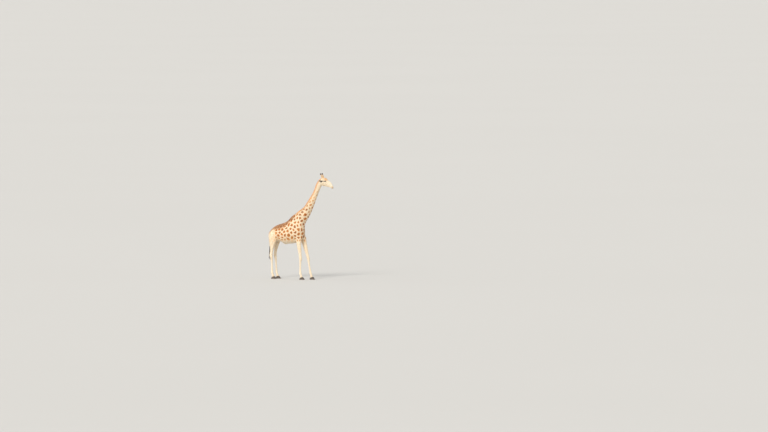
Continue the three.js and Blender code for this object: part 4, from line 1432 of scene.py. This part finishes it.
ways = tilts * np.array([1, 0.25, 1]) + NECK_DOWN * chance.normal(0.12, 0.10, len(roots))[:, None]
ways[:, 1] += chance.normal(0, 0.05, len(roots)) + roots[:, 1] * 4
ways = unit(ways)
off_middle = np.abs(roots[:, 1]) / MANE["half_width"]
mane_long = MANE["high"] * (0.30 + 0.70 * ends) * chance.uniform(0.82, 1.08, len(roots))
mane_long *= 1 - 0.25 * off_middle
clump = np.array([noise.noise(Vector(p) / 0.018) for p in roots])
ways = unit(ways + NECK_DOWN * (0.22 * clump)[:, None] + np.outer(clump, [0, 0.12, 0]))
locks("mane_brush", mane_hair, "mane", roots - ways * 0.004, ways, mane_long * (1 + 0.12 * clump), 0.0017,
      straight=tilts, droop=NECK_DOWN, shade=0.50 * step(off_middle, 0.55, 1), nodes=["mane"],
      Rings=2, Bend=0.16)

# %% The tail tuft
tuft_low, tuft_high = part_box("tail_tuft")
TUFT_TOP = 1.37
tail_end = some_of((x < TAIL_X) & (z < TUFT_TOP) & (z > tuft_high.z - 0.10), 620)
roots = hide.place[tail_end] - tilt[tail_end] * 0.003
tuft_middle = (np.array(tuft_low) + np.array(tuft_high)) / 2
ways = (tuft_middle - roots) * 0.5 + chance.normal(0, 0.018, (len(roots), 3))
ways[:, 2] = -0.30
tuft_long = np.minimum(chance.uniform(0.26, 0.50, len(roots)), roots[:, 2] - tuft_low.z - 0.004)
first_hairs = step(roots[:, 2], 1.28, TUFT_TOP)
tuft_long *= 1 - 0.6 * first_hairs * chance.uniform(0, 1, len(roots))
tuft_wide = chance.uniform(0.0016, 0.0032, len(roots)) * (1 - 0.6 * first_hairs)
locks("tail_locks", black_hair, "tuft", roots, ways, tuft_long, tuft_wide,
      droop=(0, 0, -0.2), curl=(-1, 1), shade=(0, 0.35), nodes=["tail_tuft"], Rings=12, Bend=0.05,
      Wave=0.05, Turns=1.3)

# %% Hair on the horns
# Black tufts crown each horn, short tan hair covers its shaft, and the hair of the forehead
# rises over its foot, so that no seam shows between bone and skin.
for side in SIDES:
    shape, up_horn, foot, axis = horn_shapes[side]
    normals = shape.normals()
    crown = some_of(up_horn > 0.80, 420)
    lean = 0.35 + 0.9 * step(up_horn[crown], 0.86, 0.99)
    ways = normals[crown] * 0.55 + axis * lean[:, None]
    locks(f"horn_tuft_{side}", black_hair, "tuft", shape.place[crown], ways, (0.012, 0.024), 0.0013,
          shade=(0, 0.8), Rings=2, Bend=0.0)
    shaft = some_of((up_horn < 0.82) & (up_horn > 0.03), 1400)
    ways = normals[shaft] * 0.14 + axis
    locks(f"horn_hair_{side}", tan_hair, "horn", shape.place[shaft], ways, (0.007, 0.011), 0.0010,
          straight=normals[shaft], shade=1 - step(up_horn[shaft], 0.08, 0.45), Rings=2, Bend=0.0)
    spoke = hide.place - foot
    round_foot = np.flatnonzero(np.linalg.norm(spoke, axis=1) < 0.11)
    beside = height_over(shape.tree(), hide.place[round_foot])[0]
    skirt = chance.choice(round_foot[(beside > -0.001) & (beside < 0.007)], 700)
    ways = axis * 0.28 - unit(off_line(spoke[skirt], axis)) * 0.95
    locks(f"horn_foot_{side}", tan_hair, "coat", hide.place[skirt], ways, (0.005, 0.008), 0.0008,
          straight=tilt[skirt], shade=1.0, Rings=2, Bend=0.0)

# %% Lashes
roots, ways = [], []
for side in SIDES:
    outwards, slit, up = eye_frame(side)
    for along in np.linspace(-44, 52, 44):
        for row in (0, 1):
            upper, lower = lid_angles(along + row)
            rise, a = math.radians(upper + 1.0 + 1.2 * row), math.radians(along + row)
            way = outwards * (math.cos(rise) * math.cos(a)) + slit * (math.cos(rise) * math.sin(a))
            way += up * math.sin(rise)
            roots.append(eye_centre[side] + way * (LIDS["radius"] + 0.0004))
            way = way * 0.9 - up * (0.38 + 0.1 * row) + slit * 0.25 * math.sin(a)
            ways.append(way + chance.normal(0, 0.05, 3))
locks("lashes", black_hair, "tuft", roots, ways, (0.013, 0.022), 0.00065,
      straight=np.cross(unit(np.array(ways)), [0.3, 0, 1]), droop=(0, 0, 0.8), shade=0.0, Rings=4, Bend=0.35)

# %% Fringe in the ears, and hair on the lips
roots, ways = [], []
for side in SIDES:
    root, along, opening, across = ear_frame(side)
    for t in np.linspace(0.10, 0.93, 110):
        for edge in (-1, 1):
            w = edge * chance.uniform(0.80, 0.97)
            rim = root + along * EAR["length"] * t + across * ear_half_width(t) * w
            roots.append(rim + opening * (ear_cup(t, w) + 0.001))
            ways.append(-across * edge * 0.75 + along * 0.55 + opening * 0.35 + chance.normal(0, 0.12, 3))
locks("ear_fringe", pale_hair, "coat", roots, ways, (0.014, 0.026), 0.0009,
      straight=np.cross(unit(np.array(ways)), [0, 0, 1]), shade=(0, 0.3), Rings=3, Bend=0.15)

by_lips = (u > 0.565) & (head_share > 0.5) & (np.abs(gape - 0.027) < 0.023) & (slot > 0.012)
lips = some_of(by_lips, 260)
locks("lip_hair", pale_hair, "coat", hide.place[lips], tilt[lips] * 0.8 + ahead * 0.35 - above * 0.45,
      (0.008, 0.020), 0.00045, shade=(0.2, 0.9), Rings=3, Bend=0.25)

# %% Hair over the hooves
rim = some_of((z > 0.094) & (z < 0.122), 2400)
locks("hoof_fringe", pale_hair, "coat", hide.place[rim], tilt[rim] * 0.45 + np.array([0, 0, -1.0]),
      (0.014, 0.026), 0.0010, straight=tilt[rim], shade=(0, 0.5), Rings=2, Bend=0.10)

# %% [markdown]
# ## Floor, light and camera
# A wide pale floor, a soft sun high over the near side and a pale sky, as in a studio with one
# big window, and three weak, wide suns that soften the shaded sides. The camera stands far off
# with a long lens, low, and a little in front of the animal's side.

# %% Floor
FLOOR_REACH = 2600
square = bmesh.new()
square.faces.new([square.verts.new((sx * FLOOR_REACH, sy * FLOOR_REACH, -0.0005))
                  for sx, sy in ((-1, -1), (1, -1), (1, 1), (-1, 1))])
floor = as_object("floor", square)
paint = Paint("pale floor", Roughness=0.85)
shade = paint.ramp(paint.noise(30.0), -0.2, 0.2)
floor.data.materials.append(paint.set(
    Base_Color=paint.blend(shade, (0.555, 0.545, 0.525), (0.560, 0.550, 0.530))))

# %% Light
def sun(name, azimuth, elevation, strength, angle, colour):
    """A sun that shines from an azimuth (0 from -Y, 90 from +X) and an elevation."""
    lamp = bpy.data.lights.new(name, "SUN")
    lamp.energy, lamp.angle, lamp.color = strength, math.radians(angle), colour
    made = bpy.data.objects.new(name, lamp)
    a, e = math.radians(azimuth), math.radians(elevation)
    towards = Vector((math.sin(a) * math.cos(e), -math.cos(a) * math.cos(e), math.sin(e)))
    made.rotation_euler = towards.to_track_quat("Z", "Y").to_euler()
    bpy.context.collection.objects.link(made)


sun("window", -2, 33, 2.15, 22, (1.0, 0.965, 0.91))
sun("low fill", 6, 5, 0.85, 60, (1.0, 0.97, 0.93))
sun("fill", 95, 30, 0.35, 50, (0.94, 0.97, 1.0))
sun("rear fill", -65, 18, 0.9, 60, (1.0, 0.97, 0.93))
world = bpy.context.scene.world = bpy.data.worlds.new("studio")
world.use_nodes = True
sky = world.node_tree.nodes["Background"].inputs
sky["Color"].default_value, sky["Strength"].default_value = (0.81, 0.81, 0.80, 1), 0.90

# %% Camera
AZIMUTH, ELEVATION, DISTANCE = math.radians(27), math.radians(3), 220.0
FRAME_WIDTH, SENSOR = 32.256, 36
AIM = {"from": (-0.597, 0, 0), "right": 4.0215, "up": 2.646}
flat = math.cos(ELEVATION)
back = Vector((math.sin(AZIMUTH) * flat, -math.cos(AZIMUTH) * flat, math.sin(ELEVATION)))
right = Vector((math.cos(AZIMUTH), math.sin(AZIMUTH), 0))
upwards = back.cross(right)
lens = bpy.data.cameras.new("camera")
lens.sensor_width = SENSOR
lens.lens = SENSOR * DISTANCE / FRAME_WIDTH
lens.clip_start, lens.clip_end = 10, 4000
camera = bpy.data.objects.new("camera", lens)
bpy.context.collection.objects.link(camera)
camera.location = Vector(AIM["from"]) + right * AIM["right"] + upwards * AIM["up"] + back * DISTANCE
camera.rotation_euler = back.to_track_quat("Z", "Y").to_euler()
bpy.context.scene.camera = camera
bpy.context.scene.view_settings.view_transform = "Standard"
print("camera:", [round(c, 2) for c in camera.location], "lens:", round(lens.lens, 1))

# %% [markdown]
# ## Put the pieces on the body
# Every piece rides on the one body of this still model, and the solids that it stands for are hidden.

# %% Ride, and hide the solids that are replaced
for thing, nodes, slot_name in body:
    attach(thing, "root")
    if nodes:
        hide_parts(*nodes)
